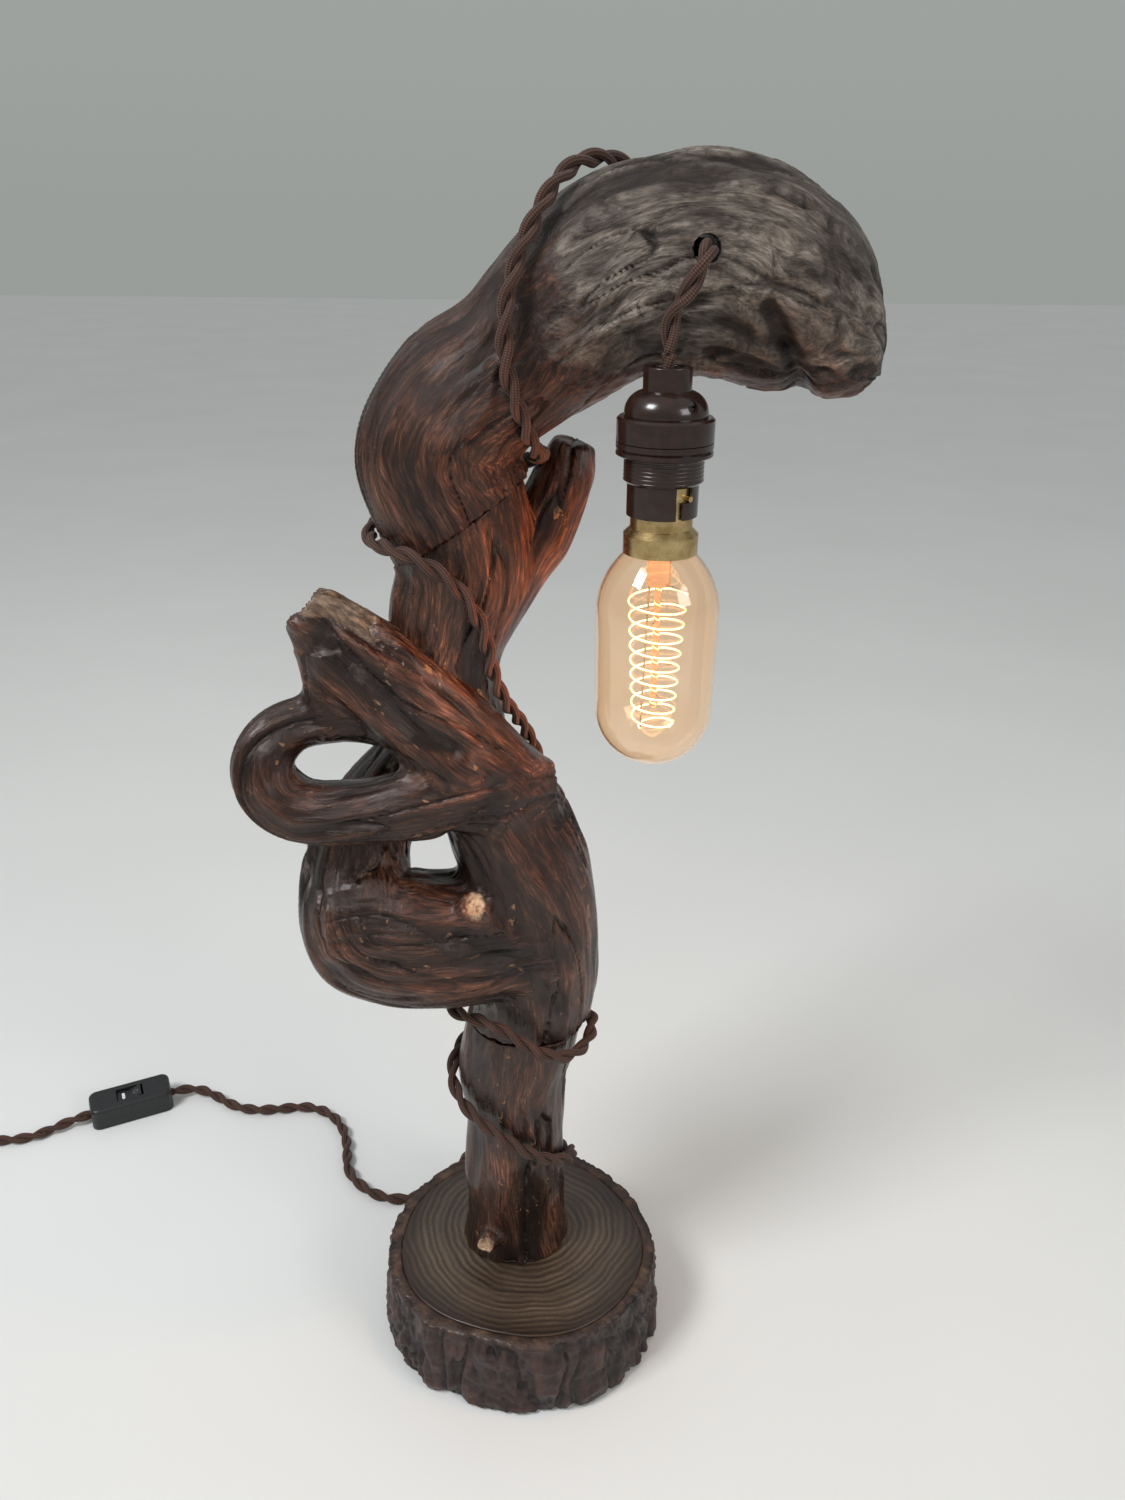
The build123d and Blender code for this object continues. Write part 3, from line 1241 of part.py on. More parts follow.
with BuildPart() as plug_base:
    extrude(plug_outline(PLUG_SEAM + PLUG_SEAM_GAP, 0), amount=PLUG_HEIGHT - PLUG_SEAM - PLUG_SEAM_GAP)
    chamfer(plug_base.edges().group_by(Axis.Z)[-1], length=PLUG_ROUND / 2)
    extrude(plug_outline(PLUG_SEAM, PLUG_WALL), amount=PLUG_HEIGHT - PLUG_FACE - PLUG_SEAM, mode=Mode.SUBTRACT)
    with BuildSketch(PLUG.offset(PLUG_SEAM + PLUG_SEAM_GAP)):
        with Locations((PLUG_SCREW_X, 0)):
            Circle(PLUG_BOSS / 2)
    extrude(amount=PLUG_HEIGHT - PLUG_FACE - PLUG_SEAM)
    with BuildSketch(PLUG.offset(PLUG_HEIGHT)):
        with Locations(*line_pins):
            Rectangle(PLUG_PIN_THICKNESS + 2 * PIN_FIT, LINE_PIN_WIDTH + 2 * PIN_FIT)
        with Locations(earth_pin):
            Rectangle(EARTH_PIN_WIDTH + 2 * PIN_FIT, PLUG_PIN_THICKNESS + 2 * PIN_FIT)
        with Locations((PLUG_SCREW_X, 0)):
            Circle(PLUG_SCREW_DIAMETER / 2 + SEAT_FIT)
    extrude(amount=-PLUG_HEIGHT, mode=Mode.SUBTRACT)
    with BuildSketch(PLUG.offset(PLUG_HEIGHT)):
        with Locations((PLUG_SCREW_X, 0)):
            Circle(PLUG_SCREW_HEAD / 2 + SEAT_FIT)
    extrude(amount=-PLUG_SCREW_HEAD_HEIGHT, mode=Mode.SUBTRACT)
    with BuildSketch(PLUG_CORD):
        Circle(FLEX_DIAMETER / 2 + FLEX_FIT)
    extrude(amount=PLUG_WALL, both=True, mode=Mode.SUBTRACT)
finish(plug_base, "plug_base")

with BuildPart() as plug_line_pins:
    with BuildSketch(PLUG.offset(PLUG_HEIGHT - PIN_ROOT)):
        with Locations(*line_pins):
            Rectangle(PLUG_PIN_THICKNESS, LINE_PIN_WIDTH)
    extrude(amount=PIN_ROOT + LINE_PIN_LENGTH)
    chamfer(plug_line_pins.edges().group_by(Axis.Z)[-1], length=PLUG_PIN_THICKNESS / 4)
finish(plug_line_pins, "plug_line_pins")

with BuildPart() as plug_earth_pin:
    with BuildSketch(PLUG.offset(PLUG_HEIGHT - PIN_ROOT)):
        with Locations(earth_pin):
            Rectangle(EARTH_PIN_WIDTH, PLUG_PIN_THICKNESS)
    extrude(amount=PIN_ROOT + EARTH_PIN_LENGTH)
    chamfer(plug_earth_pin.edges().group_by(Axis.Z)[-1], length=PLUG_PIN_THICKNESS / 4)
finish(plug_earth_pin, "plug_earth_pin")

with BuildPart() as plug_fuse:
    fuse_place = Plane(
        origin=PLUG.from_local_coords((FUSE_X, FUSE_Y, PLUG_WALL + FUSE_DIAMETER / 2 + SEAT_FIT)),
        x_dir=UPRIGHT,
        z_dir=coil_way,
    )
    with BuildSketch(fuse_place):
        Circle(FUSE_DIAMETER / 2 - SEAT_FIT)
    extrude(amount=FUSE_LENGTH)
    for end in (0, FUSE_LENGTH - FUSE_CAP):
        with BuildSketch(fuse_place.offset(end)):
            Circle(FUSE_DIAMETER / 2)
        extrude(amount=FUSE_CAP)
finish(plug_fuse, "plug_fuse")

with BuildPart() as plug_screw:
    head_plane = PLUG.offset(PLUG_HEIGHT - PLUG_SCREW_HEAD_HEIGHT)
    with BuildSketch(head_plane):
        with Locations((PLUG_SCREW_X, 0)):
            Circle(PLUG_SCREW_HEAD / 2)
    extrude(amount=PLUG_SCREW_HEAD_HEIGHT - SEAT_FIT)
    with BuildSketch(head_plane):
        with Locations((PLUG_SCREW_X, 0)):
            Circle(PLUG_SCREW_DIAMETER / 2)
    extrude(amount=PLUG_WALL + SEAT_FIT - PLUG_HEIGHT + PLUG_SCREW_HEAD_HEIGHT)
    with BuildSketch(PLUG.offset(PLUG_HEIGHT)):
        with Locations((PLUG_SCREW_X, 0)):
            Rectangle(PLUG_SCREW_HEAD, LOCK_SCREW_SLOT)
    extrude(amount=-PLUG_SCREW_HEAD_HEIGHT / 2, mode=Mode.SUBTRACT)
finish(plug_screw, "plug_screw")


def flex_tube(label, route):
    """A cord along straight runs, with a tangent arc at each corner as wide as its two runs allow."""
    spots = [Vector(*point) for point in route]
    radii = []
    for before, corner, after in zip(spots, spots[1:], spots[2:]):
        run = min((corner - before).length, (after - corner).length)
        turn = radians((corner - before).get_angle(after - corner))
        radii.append(FLEX_ROUND_SHARE * run / tan(turn / 2))
    with BuildPart() as tube:
        with BuildLine() as path:
            FilletPolyline(*spots, radius=radii)
        with BuildSketch(Plane(origin=path.wire() @ 0, z_dir=path.wire() % 0)):
            Circle(FLEX_DIAMETER / 2)
        sweep()
    length = path.wire().length
    filled = tube.part.volume / (pi * FLEX_DIAMETER ** 2 / 4 * length)
    print(label, "length %.0f filled %.3f radii" % (length, filled), *("%.0f" % radius for radius in radii))
    finish(tube, label)


def flex_straight(label, start, stop):
    """A straight stretch of cord."""
    with BuildPart() as tube:
        rod(start, stop, FLEX_DIAMETER)
    finish(tube, label)


def above(points, seat):
    """Points whose heights are from a seat."""
    return [(x, y, seat + height) for x, y, height in points]


def by_switch(along):
    """A point on the switch's long axis, at the height where the flex goes in."""
    return SWITCH.from_local_coords((along, 0, SWITCH_FLEX_Z))


# Flex: wound on the wood, hanging to the lampholder, and lying on the table
SWITCH_INSIDE = SWITCH_LENGTH / 2 - SWITCH_FLEX_DEPTH
SWITCH_OUTSIDE = SWITCH_LENGTH / 2 + SWITCH_FLEX_RUN
SWING_TOP = HOLDER_TOP + SWING_RISE
STEM_ROUTE = above(FOOT_WIND, BASE_TOP) + above(KNOT_WIND, FOOT_TOP)
STEM_ROUTE += above(UPPER_WIND, KNOT_TOP) + above(ARCH_WIND, SCARF_MIDDLE)
DROP_ROUTE = above(DROP_WIND, HEAD_HOLE_Z)
flex_tube("flex_on_stem", STEM_ROUTE)
flex_straight("flex_in_head", Vector(*STEM_ROUTE[-1]), Vector(*DROP_ROUTE[0]))
flex_tube("flex_drop_upper", DROP_ROUTE + [from_axis(0, 0, SWING_TOP)])
flex_straight("flex_drop_lower", from_axis(0, 0, SWING_TOP), from_axis(0, 0, HOLDER_TOP))
flex_straight("flex_in_holder", from_axis(0, 0, HOLDER_TOP), from_axis(0, 0, BODY_TOP + CONTACT_GAP))
coil_start = coil_line @ 0
flex_tube(
    "flex_to_switch",
    [STEM_ROUTE[0]] + SWITCH_ROUTE + [by_switch(SWITCH_OUTSIDE), by_switch(SWITCH_INSIDE)],
)
flex_tube(
    "flex_to_coil",
    [by_switch(-SWITCH_INSIDE), by_switch(-SWITCH_OUTSIDE)]
    + COIL_ROUTE
    + [coil_start - (coil_line % 0) * COIL_LEAD, coil_start],
)
flex_straight("flex_to_plug", coil_end, plug_start + coil_way * PLUG_FLEX_DEPTH)
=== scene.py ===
"""Looks of a bedside lamp of found wood: grained wood, braided flex, lampholder, lit bulb, studio and camera.

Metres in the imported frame, +Z up, +X to the right and +Y to the back. The tables below are in millimetres.
"""
from math import cos, pi, radians, sin
import bpy
import numpy as np
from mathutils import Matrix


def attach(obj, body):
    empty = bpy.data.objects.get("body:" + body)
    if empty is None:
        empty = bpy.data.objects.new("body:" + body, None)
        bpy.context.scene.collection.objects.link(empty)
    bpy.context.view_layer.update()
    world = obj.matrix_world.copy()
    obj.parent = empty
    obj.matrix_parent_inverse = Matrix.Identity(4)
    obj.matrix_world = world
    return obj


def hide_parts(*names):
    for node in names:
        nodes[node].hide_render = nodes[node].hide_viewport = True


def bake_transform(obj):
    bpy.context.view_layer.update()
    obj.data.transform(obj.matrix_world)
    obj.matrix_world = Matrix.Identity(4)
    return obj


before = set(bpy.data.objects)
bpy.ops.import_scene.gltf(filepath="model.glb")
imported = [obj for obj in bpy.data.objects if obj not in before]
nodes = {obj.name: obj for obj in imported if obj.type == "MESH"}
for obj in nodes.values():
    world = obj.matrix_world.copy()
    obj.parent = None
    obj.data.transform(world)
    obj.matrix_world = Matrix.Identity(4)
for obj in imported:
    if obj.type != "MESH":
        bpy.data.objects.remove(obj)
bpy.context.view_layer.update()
scene = bpy.context.scene
MM = 0.001

# Camera at the place where the lamp was seen from
scene.view_settings.view_transform = "Standard"
lens = bpy.data.cameras.new("lamp_view")
lens.sensor_fit = "VERTICAL"
lens.sensor_height = 36.0
lens.lens = 27.0
eye = bpy.data.objects.new("lamp_view", lens)
eye.location = (0.017, -0.429, 0.530)
eye.rotation_euler = (radians(65.0), radians(-0.5), 0.0)
eye.rotation_mode = "XYZ"
scene.collection.objects.link(eye)
scene.camera = eye

# Route points of the flex, as in the solids
STEM_ROUTE = [
    (9, 33, 80), (21, 25, 87), (26, 12, 95), (24, -2, 104), (14, -14, 114), (2, -19, 125), (-12, -18.5, 136),
    (-26, -12, 144), (-34.5, 2, 151), (-33, 18, 157), (-22, 31, 163), (-7, 37, 169), (10, 37, 175),
    (27, 28, 180), (35, 15, 181), (34, 1, 180), (28, -11, 179), (19, -18, 181), (10, -22.5, 187),
    (-1, -23, 196), (-11, -21, 202), (-22, -15.5, 202), (-33, -4, 197.5), (-37, 11, 201.5), (-34, 24, 210),
    (-24, 32, 221), (-7, 36, 237), (8, 37, 259), (14, 32, 286), (9.5, 26, 311), (2.5, 13.5, 335),
    (-4, -3, 351), (-9, -10.5, 366), (-10.5, -16, 381), (-13.5, -20, 394), (-19, -22, 404), (-28, -22.5, 413),
    (-37.5, -21, 418), (-48, -16, 420), (-58.5, 1, 419.5), (-56, 20, 423), (-44, 33, 428), (-25, 37.5, 434),
    (-7, 35, 440), (4.5, 25, 445.5), (11, 8, 451), (8, -9, 454), (4, -22, 467), (-2, -28, 484),
    (-2.5, -28, 500), (-0.5, -24.5, 513.5), (5, -20.5, 527), (11.5, -14, 539.5), (20, -4, 549), (30, 9, 552),
    (41.5, 22, 549.5), (53, 34, 541.5), (62.5, 44.5, 535.5), (64, 43, 523.7), (64, 31, 523.7), (64, -20, 523.7),
]
DROP_ROUTE = [
    (64, -20, 523.7), (64, -26, 523.7), (64, -40, 523.7), (58, -41, 512), (52.5, -37, 504.5), (52.5, -37, 496),
    (52.5, -37, 488), (52.5, -37, 474),
]
SWITCH_ROUTE = [
    (9, 33, 80), (-3, 41, 73), (-12, 53, 64), (-19, 66, 54), (-25, 76, 41), (-32, 81, 27), (-42, 81, 14),
    (-54, 75, 6), (-64, 68, 3.3), (-76, 65, 3.3), (-89, 68, 3.3), (-102, 77, 3.3), (-111, 89, 3.3),
    (-113, 104, 3.3), (-117, 119, 3.3), (-125, 132, 3.3), (-136, 140, 3.3), (-149, 143, 3.3), (-165, 140, 3.3),
    (-181, 139, 3.3), (-195, 143, 3.3), (-206, 150.5, 3.4), (-218, 156, 5), (-231.1, 155.9, 6), (-242.9, 150.5, 6),
]
COIL_ROUTE = [
    (-279.1, 133.5, 6), (-290.9, 128, 6), (-302, 122, 4), (-314, 114, 3.3), (-328, 111, 3.3), (-344, 110, 3.3),
    (-360, 109, 4), (-377.6, 107.9, 4.7),
]
# Sizes of the flex, its coil on the table and the sleeve at the plug
FLEX = 6.4
STRAND = 3.2
STRAND_SIDES = 10
FLEX_STEP = 1.3
LAY = 25.0
DROP_LAY = 30.0
SIDE_HINT = (0.3, 0.2, 0.93)
COIL_MIDDLE = (-398.0, 65.0, 4.7)
COIL_RADIUS = 43.0
COIL_PITCH = 6.9
COIL_TURNS_IN = 3
COIL_TURNS = 6.375
COIL_STEPS = 102
PLUG_TAIL = 54.0
SLEEVE_LENGTH = 30.0
SLEEVE_STEP = 0.25
SLEEVE_SIDES = 28
SLEEVE_RADIUS, SLEEVE_TAPER, RIB_HEIGHT, RIB_PITCH = 3.7, 1.5, 0.28, 3.0
# Height of the hinge in the drop and the lap of its two parts, in metres
HINGE_HEIGHT, HINGE_LAP = 0.492, 0.0001


def coil_points():
    """Spare flex: radius falls a pitch a turn to the quarter past the third turn, then grows again one layer up."""
    turn = np.arange(0.0, COIL_TURNS + 1e-6, COIL_TURNS / COIL_STEPS)
    back = COIL_TURNS_IN + 0.25
    radius = COIL_RADIUS + COIL_PITCH * (np.abs(turn - back) - back)
    climb = np.clip(2 * (turn - COIL_TURNS_IN), 0, 1)
    angle = 2 * pi * turn + pi / 2
    return np.stack([
        COIL_MIDDLE[0] + radius * np.cos(angle),
        COIL_MIDDLE[1] + radius * np.sin(angle),
        COIL_MIDDLE[2] + COIL_PITCH * (1 - np.cos(pi * climb)) / 2,
    ], axis=1)


def smooth_line(name, route):
    """Points of the NURBS spline, order 3, that has the route's points as its control points, in metres."""
    curve = bpy.data.curves.new(name, "CURVE")
    curve.dimensions = "3D"
    curve.resolution_u = 24
    spline = curve.splines.new("NURBS")
    spots = np.ones((len(route), 4))
    spots[:, :3] = np.asarray(route) * MM
    spline.points.add(len(route) - 1)
    spline.points.foreach_set("co", spots.ravel())
    spline.order_u = 3
    spline.use_endpoint_u = True
    holder = bpy.data.objects.new(name, curve)
    scene.collection.objects.link(holder)
    line = bpy.data.meshes.new_from_object(holder)
    points = np.empty(len(line.vertices) * 3)
    line.vertices.foreach_get("co", points)
    bpy.data.objects.remove(holder)
    bpy.data.curves.remove(curve)
    bpy.data.meshes.remove(line)
    return points.reshape(-1, 3)


def even_steps(line, step):
    """The line again at even distances along itself, with its whole length."""
    reach = np.concatenate([[0], np.cumsum(np.linalg.norm(np.diff(line, axis=0), axis=1))])
    count = max(8, int(reach[-1] / step))
    at = np.linspace(0, reach[-1], count)
    return np.stack([np.interp(at, reach, line[:, axis]) for axis in range(3)], axis=1), at


def unit(rows):
    """Rows of vectors made one long."""
    return rows / np.maximum(np.linalg.norm(rows, axis=-1, keepdims=True), 1e-12)


def side_vectors(line):
    """A direction across the line at each point, turned as little as possible from one point to the next."""
    along = unit(np.gradient(line, axis=0))
    first = np.cross(along[0], SIDE_HINT)
    across = [first / np.linalg.norm(first)]
    for way in along[1:]:
        side = across[-1] - way * np.dot(across[-1], way)
        across.append(side / np.linalg.norm(side))
    across = np.array(across)
    return along, across, np.cross(along, across)


def new_piece(name, verts, faces, material, smooth=True):
    """A mesh object at the origin from points in metres and lists of corner numbers."""
    mesh = bpy.data.meshes.new(name)
    mesh.from_pydata(np.asarray(verts).tolist(), [], [list(face) for face in faces])
    mesh.polygons.foreach_set("use_smooth", np.full(len(mesh.polygons), smooth))
    mesh.update()
    piece = bpy.data.objects.new(name, mesh)
    scene.collection.objects.link(piece)
    if material is not None:
        mesh.materials.append(material)
    return piece


def grid_faces(rows, columns, closed_rows=False, start=0):
    """Corner numbers of the quads of a grid whose columns close on themselves, and its rows too if asked."""
    row = np.arange(rows if closed_rows else rows - 1)
    column = np.arange(columns)
    row, column = np.meshgrid(row, column, indexing="ij")
    below = (row + 1) % rows
    beside = (column + 1) % columns
    quads = [row * columns + column, row * columns + beside, below * columns + beside, below * columns + column]
    return (np.stack(quads, axis=-1).reshape(-1, 4) + start).tolist()


def tube(line, radius, sides, start=0):
    """A round tube: circles of the given radius, square to the line, with flat ends. Its points and faces."""
    _, across, over = side_vectors(line)
    turn = 2 * pi * np.arange(sides) / sides
    radius = np.broadcast_to(radius, len(line))
    ring = across[:, None] * np.cos(turn)[None, :, None] + over[:, None] * np.sin(turn)[None, :, None]
    verts = (line[:, None] + ring * radius[:, None, None]).reshape(-1, 3)
    faces = grid_faces(len(line), sides, start=start)
    last = start + (len(line) - 1) * sides
    faces.append(list(range(start + sides - 1, start - 1, -1)))
    faces.append(list(range(last, last + sides)))
    return verts, faces


def keep(mesh, name, values):
    """Stores a value or a vector per point in the mesh."""
    values = np.asarray(values, np.float32)
    kind, field = ("FLOAT_VECTOR", "vector") if values.ndim == 2 else ("FLOAT", "value")
    mesh.attributes.new(name, kind, "POINT").data.foreach_set(field, values.ravel())


def twisted_flex(name, line, replaced, lay=LAY):
    """Two strands round the line, in place of nodes: their middles go round it half a strand out, once a lay."""
    line, reach = even_steps(line, FLEX_STEP * MM)
    _, across, over = side_vectors(line)
    verts, faces = [], []
    for strand in (0, 1):
        turn = 2 * pi * reach / (lay * MM) + pi * strand
        offset = across * np.cos(turn)[:, None] + over * np.sin(turn)[:, None]
        middle = line + offset * STRAND / 2 * MM
        first = len(verts) * len(line) * STRAND_SIDES
        points, corners = tube(middle, STRAND / 2 * MM, STRAND_SIDES, start=first)
        verts.append(points)
        faces += corners
    piece = new_piece(name, np.concatenate(verts), faces, cloth)
    turn = np.tile(np.arange(STRAND_SIDES) / STRAND_SIDES, len(line))
    length = np.repeat(reach, STRAND_SIDES)
    one = np.stack([np.cos(2 * pi * turn), np.sin(2 * pi * turn), length / MM], axis=1)
    keep(piece.data, "braid", np.concatenate([one, one]))
    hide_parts(*replaced)
    return piece, line


# Node helpers
def finish_of(name):
    """A new material, its node tree and its main shader."""
    material = bpy.data.materials.new(name)
    material.use_nodes = True
    tree = material.node_tree
    return material, tree, tree.nodes["Principled BSDF"]


def settle(tree, node, **values):
    """A node's settings and sockets, by name with _ for a space, or by in_ and a number. Sockets given are linked."""
    for key, value in values.items():
        if hasattr(node, key):
            setattr(node, key, value)
            continue
        socket = node.inputs[int(key[3:]) if key.startswith("in_") else key.replace("_", " ")]
        if isinstance(value, bpy.types.NodeSocket):
            tree.links.new(value, socket)
        else:
            socket.default_value = value
    return node


def put(tree, kind, **values):
    """A new shader node of a kind, with its settings and sockets."""
    return settle(tree, tree.nodes.new("ShaderNode" + kind), **values)


def ramp(tree, factor, *stops):
    """A colour ramp with (place, colour) stops, where a number alone is a grey."""
    node = put(tree, "ValToRGB", in_0=factor)
    while len(node.color_ramp.elements) < len(stops):
        node.color_ramp.elements.new(0.5)
    for element, (place, colour) in zip(node.color_ramp.elements, stops):
        element.position = place
        element.color = (*colour, 1.0) if isinstance(colour, tuple) else (colour, colour, colour, 1.0)
    return node.outputs[0]


def mixed(tree, kind, factor, first, second):
    """Two colours mixed."""
    return put(tree, "Mix", data_type="RGBA", blend_type=kind, in_0=factor, in_6=first, in_7=second).outputs[2]


def toned(tree, colour, factor, *stops, share=1.0):
    """A colour multiplied by a ramp, wholly or in part."""
    return mixed(tree, "MULTIPLY", share, colour, ramp(tree, factor, *stops))


def sum_of(tree, kind, first, second=0.0):
    """A number from one number or two."""
    return put(tree, "Math", operation=kind, in_0=first, in_1=second).outputs[0]


def about_zero(tree, value, span):
    """A number between 0 and 1 moved to lie about 0, over a span."""
    return sum_of(tree, "MULTIPLY", sum_of(tree, "SUBTRACT", value, 0.5), span)


def relief_of(tree, height, strength, distance):
    """The normal of a surface with relief."""
    return put(tree, "Bump", Strength=strength, Distance=distance, Height=height).outputs[0]


def stored(tree, name, kind="Fac"):
    """A value kept in the mesh."""
    return put(tree, "Attribute", attribute_name=name).outputs[kind]


def own_place(tree):
    """The place in the piece's own axes."""
    return put(tree, "TexCoord").outputs["Object"]


def noise(tree, vector, scale, detail=4.0, roughness=0.55):
    """Noise between 0 and 1."""
    return put(tree, "TexNoise", Vector=vector, Scale=scale, Detail=detail, Roughness=roughness).outputs[0]


def stretched(tree, vector, scale):
    """A vector scaled along its axes."""
    return put(tree, "Mapping", Vector=vector, Scale=scale).outputs[0]


GRAIN_PARTS = ("Streaks", "Fibres", "Patches", "Flecks")


def wood_grain_group():
    """Grain of wood in the surface's own directions, bent by slow swirls: streaks, fibres, patches and flecks."""
    group = bpy.data.node_groups.new("wood_grain", "ShaderNodeTree")
    group.interface.new_socket("Along", in_out="INPUT", socket_type="NodeSocketVector")
    for label in ("Fineness", "Swirl", "Shortness"):
        group.interface.new_socket(label, in_out="INPUT", socket_type="NodeSocketFloat")
    for label in GRAIN_PARTS:
        group.interface.new_socket(label, in_out="OUTPUT", socket_type="NodeSocketFloat")
    given = group.nodes.new("NodeGroupInput").outputs
    leave = group.nodes.new("NodeGroupOutput")
    slow = put(group, "TexNoise", Vector=stretched(group, given["Along"], (1.0, 1.0, 0.5)), Scale=0.045)
    push = put(group, "VectorMath", operation="SUBTRACT", in_0=slow.outputs["Color"], in_1=(0.5, 0.5, 0.5))
    push = put(group, "VectorMath", operation="SCALE", in_0=push.outputs[0], Scale=given["Swirl"])
    bent = put(group, "VectorMath", operation="ADD", in_0=given["Along"], in_1=push.outputs[0]).outputs[0]
    for label, drawn, times, detail, roughness in zip(
        GRAIN_PARTS, (0.06, 0.05, 0.32, 0.42), (1.0, 3.6, 0.085, 0.25), (8.0, 4.0, 4.0, 6.0), (0.68, 0.6, 0.55, 0.68)
    ):
        scale = sum_of(group, "MULTIPLY", given["Fineness"], times)
        short = sum_of(group, "MULTIPLY", given["Shortness"], drawn)
        ratio = put(group, "CombineXYZ", X=1.0, Y=1.0, Z=short).outputs[0]
        vector = put(group, "VectorMath", operation="MULTIPLY", in_0=bent, in_1=ratio).outputs[0]
        group.links.new(noise(group, vector, scale, detail, roughness), leave.inputs[label])
    return group


wood_grain = wood_grain_group()


def grain_in(tree, fineness, swirl, shortness):
    """The wood grain group on the mesh's own grain directions."""
    node = put(tree, "Group", node_tree=wood_grain)
    along = stored(tree, "grain", "Vector")
    settle(tree, node, Along=along, Fineness=fineness, Swirl=swirl, Shortness=shortness)
    return (node.outputs[label] for label in GRAIN_PARTS)


def varnished_wood():
    """Dark red-brown wood, streaked along the grain, under varnish: painted shade makes it black in the hollows, and
    the ridges are lighter as wear with painted light.
    """
    material, tree, shader = finish_of("varnished_wood")
    streaks, fibres, patches, flecks = grain_in(tree, 0.80, 11.0, 1.35)
    colour = ramp(
        tree, streaks, (0.32, (0.006, 0.0033, 0.0026)), (0.44, (0.026, 0.0113, 0.0075)),
        (0.53, (0.063, 0.0275, 0.017)), (0.63, (0.115, 0.052, 0.031)), (0.76, (0.27, 0.145, 0.086)),
    )
    colour = toned(
        tree, colour, patches, (0.34, (0.13, 0.11, 0.11)), (0.5, (0.72, 0.68, 0.66)), (0.64, (1.25, 1.2, 1.15))
    )
    # Painted shade and light: the stored relief darkens the hollows, the groove under the flex among them, and lightens
    # the ridges, on top of their wear.
    colour = toned(
        tree, colour, stored(tree, "relief"), (0.16, (0.10, 0.08, 0.08)), (0.46, (0.85, 0.82, 0.8)),
        (0.80, (1.8, 1.65, 1.5)),
    )
    colour = toned(tree, colour, fibres, (0.35, (0.60, 0.57, 0.55)), (0.65, 1.2), share=0.85)
    scrap = ramp(tree, fibres, (0.3, (0.15, 0.07, 0.035)), (0.7, (0.36, 0.20, 0.11)))
    colour = mixed(tree, "MIX", ramp(tree, flecks, (0.635, 0.0), (0.67, 0.8)), colour, scrap)
    sawn_end = ramp(
        tree, noise(tree, own_place(tree), 420.0, 6.0, 0.7), (0.36, (0.085, 0.045, 0.026)),
        (0.45, (0.33, 0.20, 0.115)), (0.66, (0.60, 0.44, 0.28)),
    )
    colour = mixed(tree, "MIX", stored(tree, "cut"), colour, sawn_end)
    edge = sum_of(tree, "ADD", stored(tree, "weathered"), about_zero(tree, flecks, 1.1))
    grey = ramp(
        tree, streaks, (0.36, (0.030, 0.018, 0.013)), (0.5, (0.12, 0.075, 0.046)), (0.68, (0.34, 0.235, 0.15))
    )
    colour = mixed(tree, "MIX", ramp(tree, edge, (0.46, 0.0), (0.66, 0.85)), colour, grey)
    height = sum_of(tree, "ADD", streaks, sum_of(tree, "MULTIPLY", fibres, 0.2))
    settle(
        tree, shader, Base_Color=colour, Roughness=ramp(tree, streaks, (0.3, 0.16), (0.7, 0.30)),
        Specular_IOR_Level=0.5, Specular_Tint=(1.0, 0.80, 0.74, 1.0), Coat_Weight=0.12, Coat_Roughness=0.10,
        Normal=relief_of(tree, height, 0.5, 0.0012),
    )
    return material


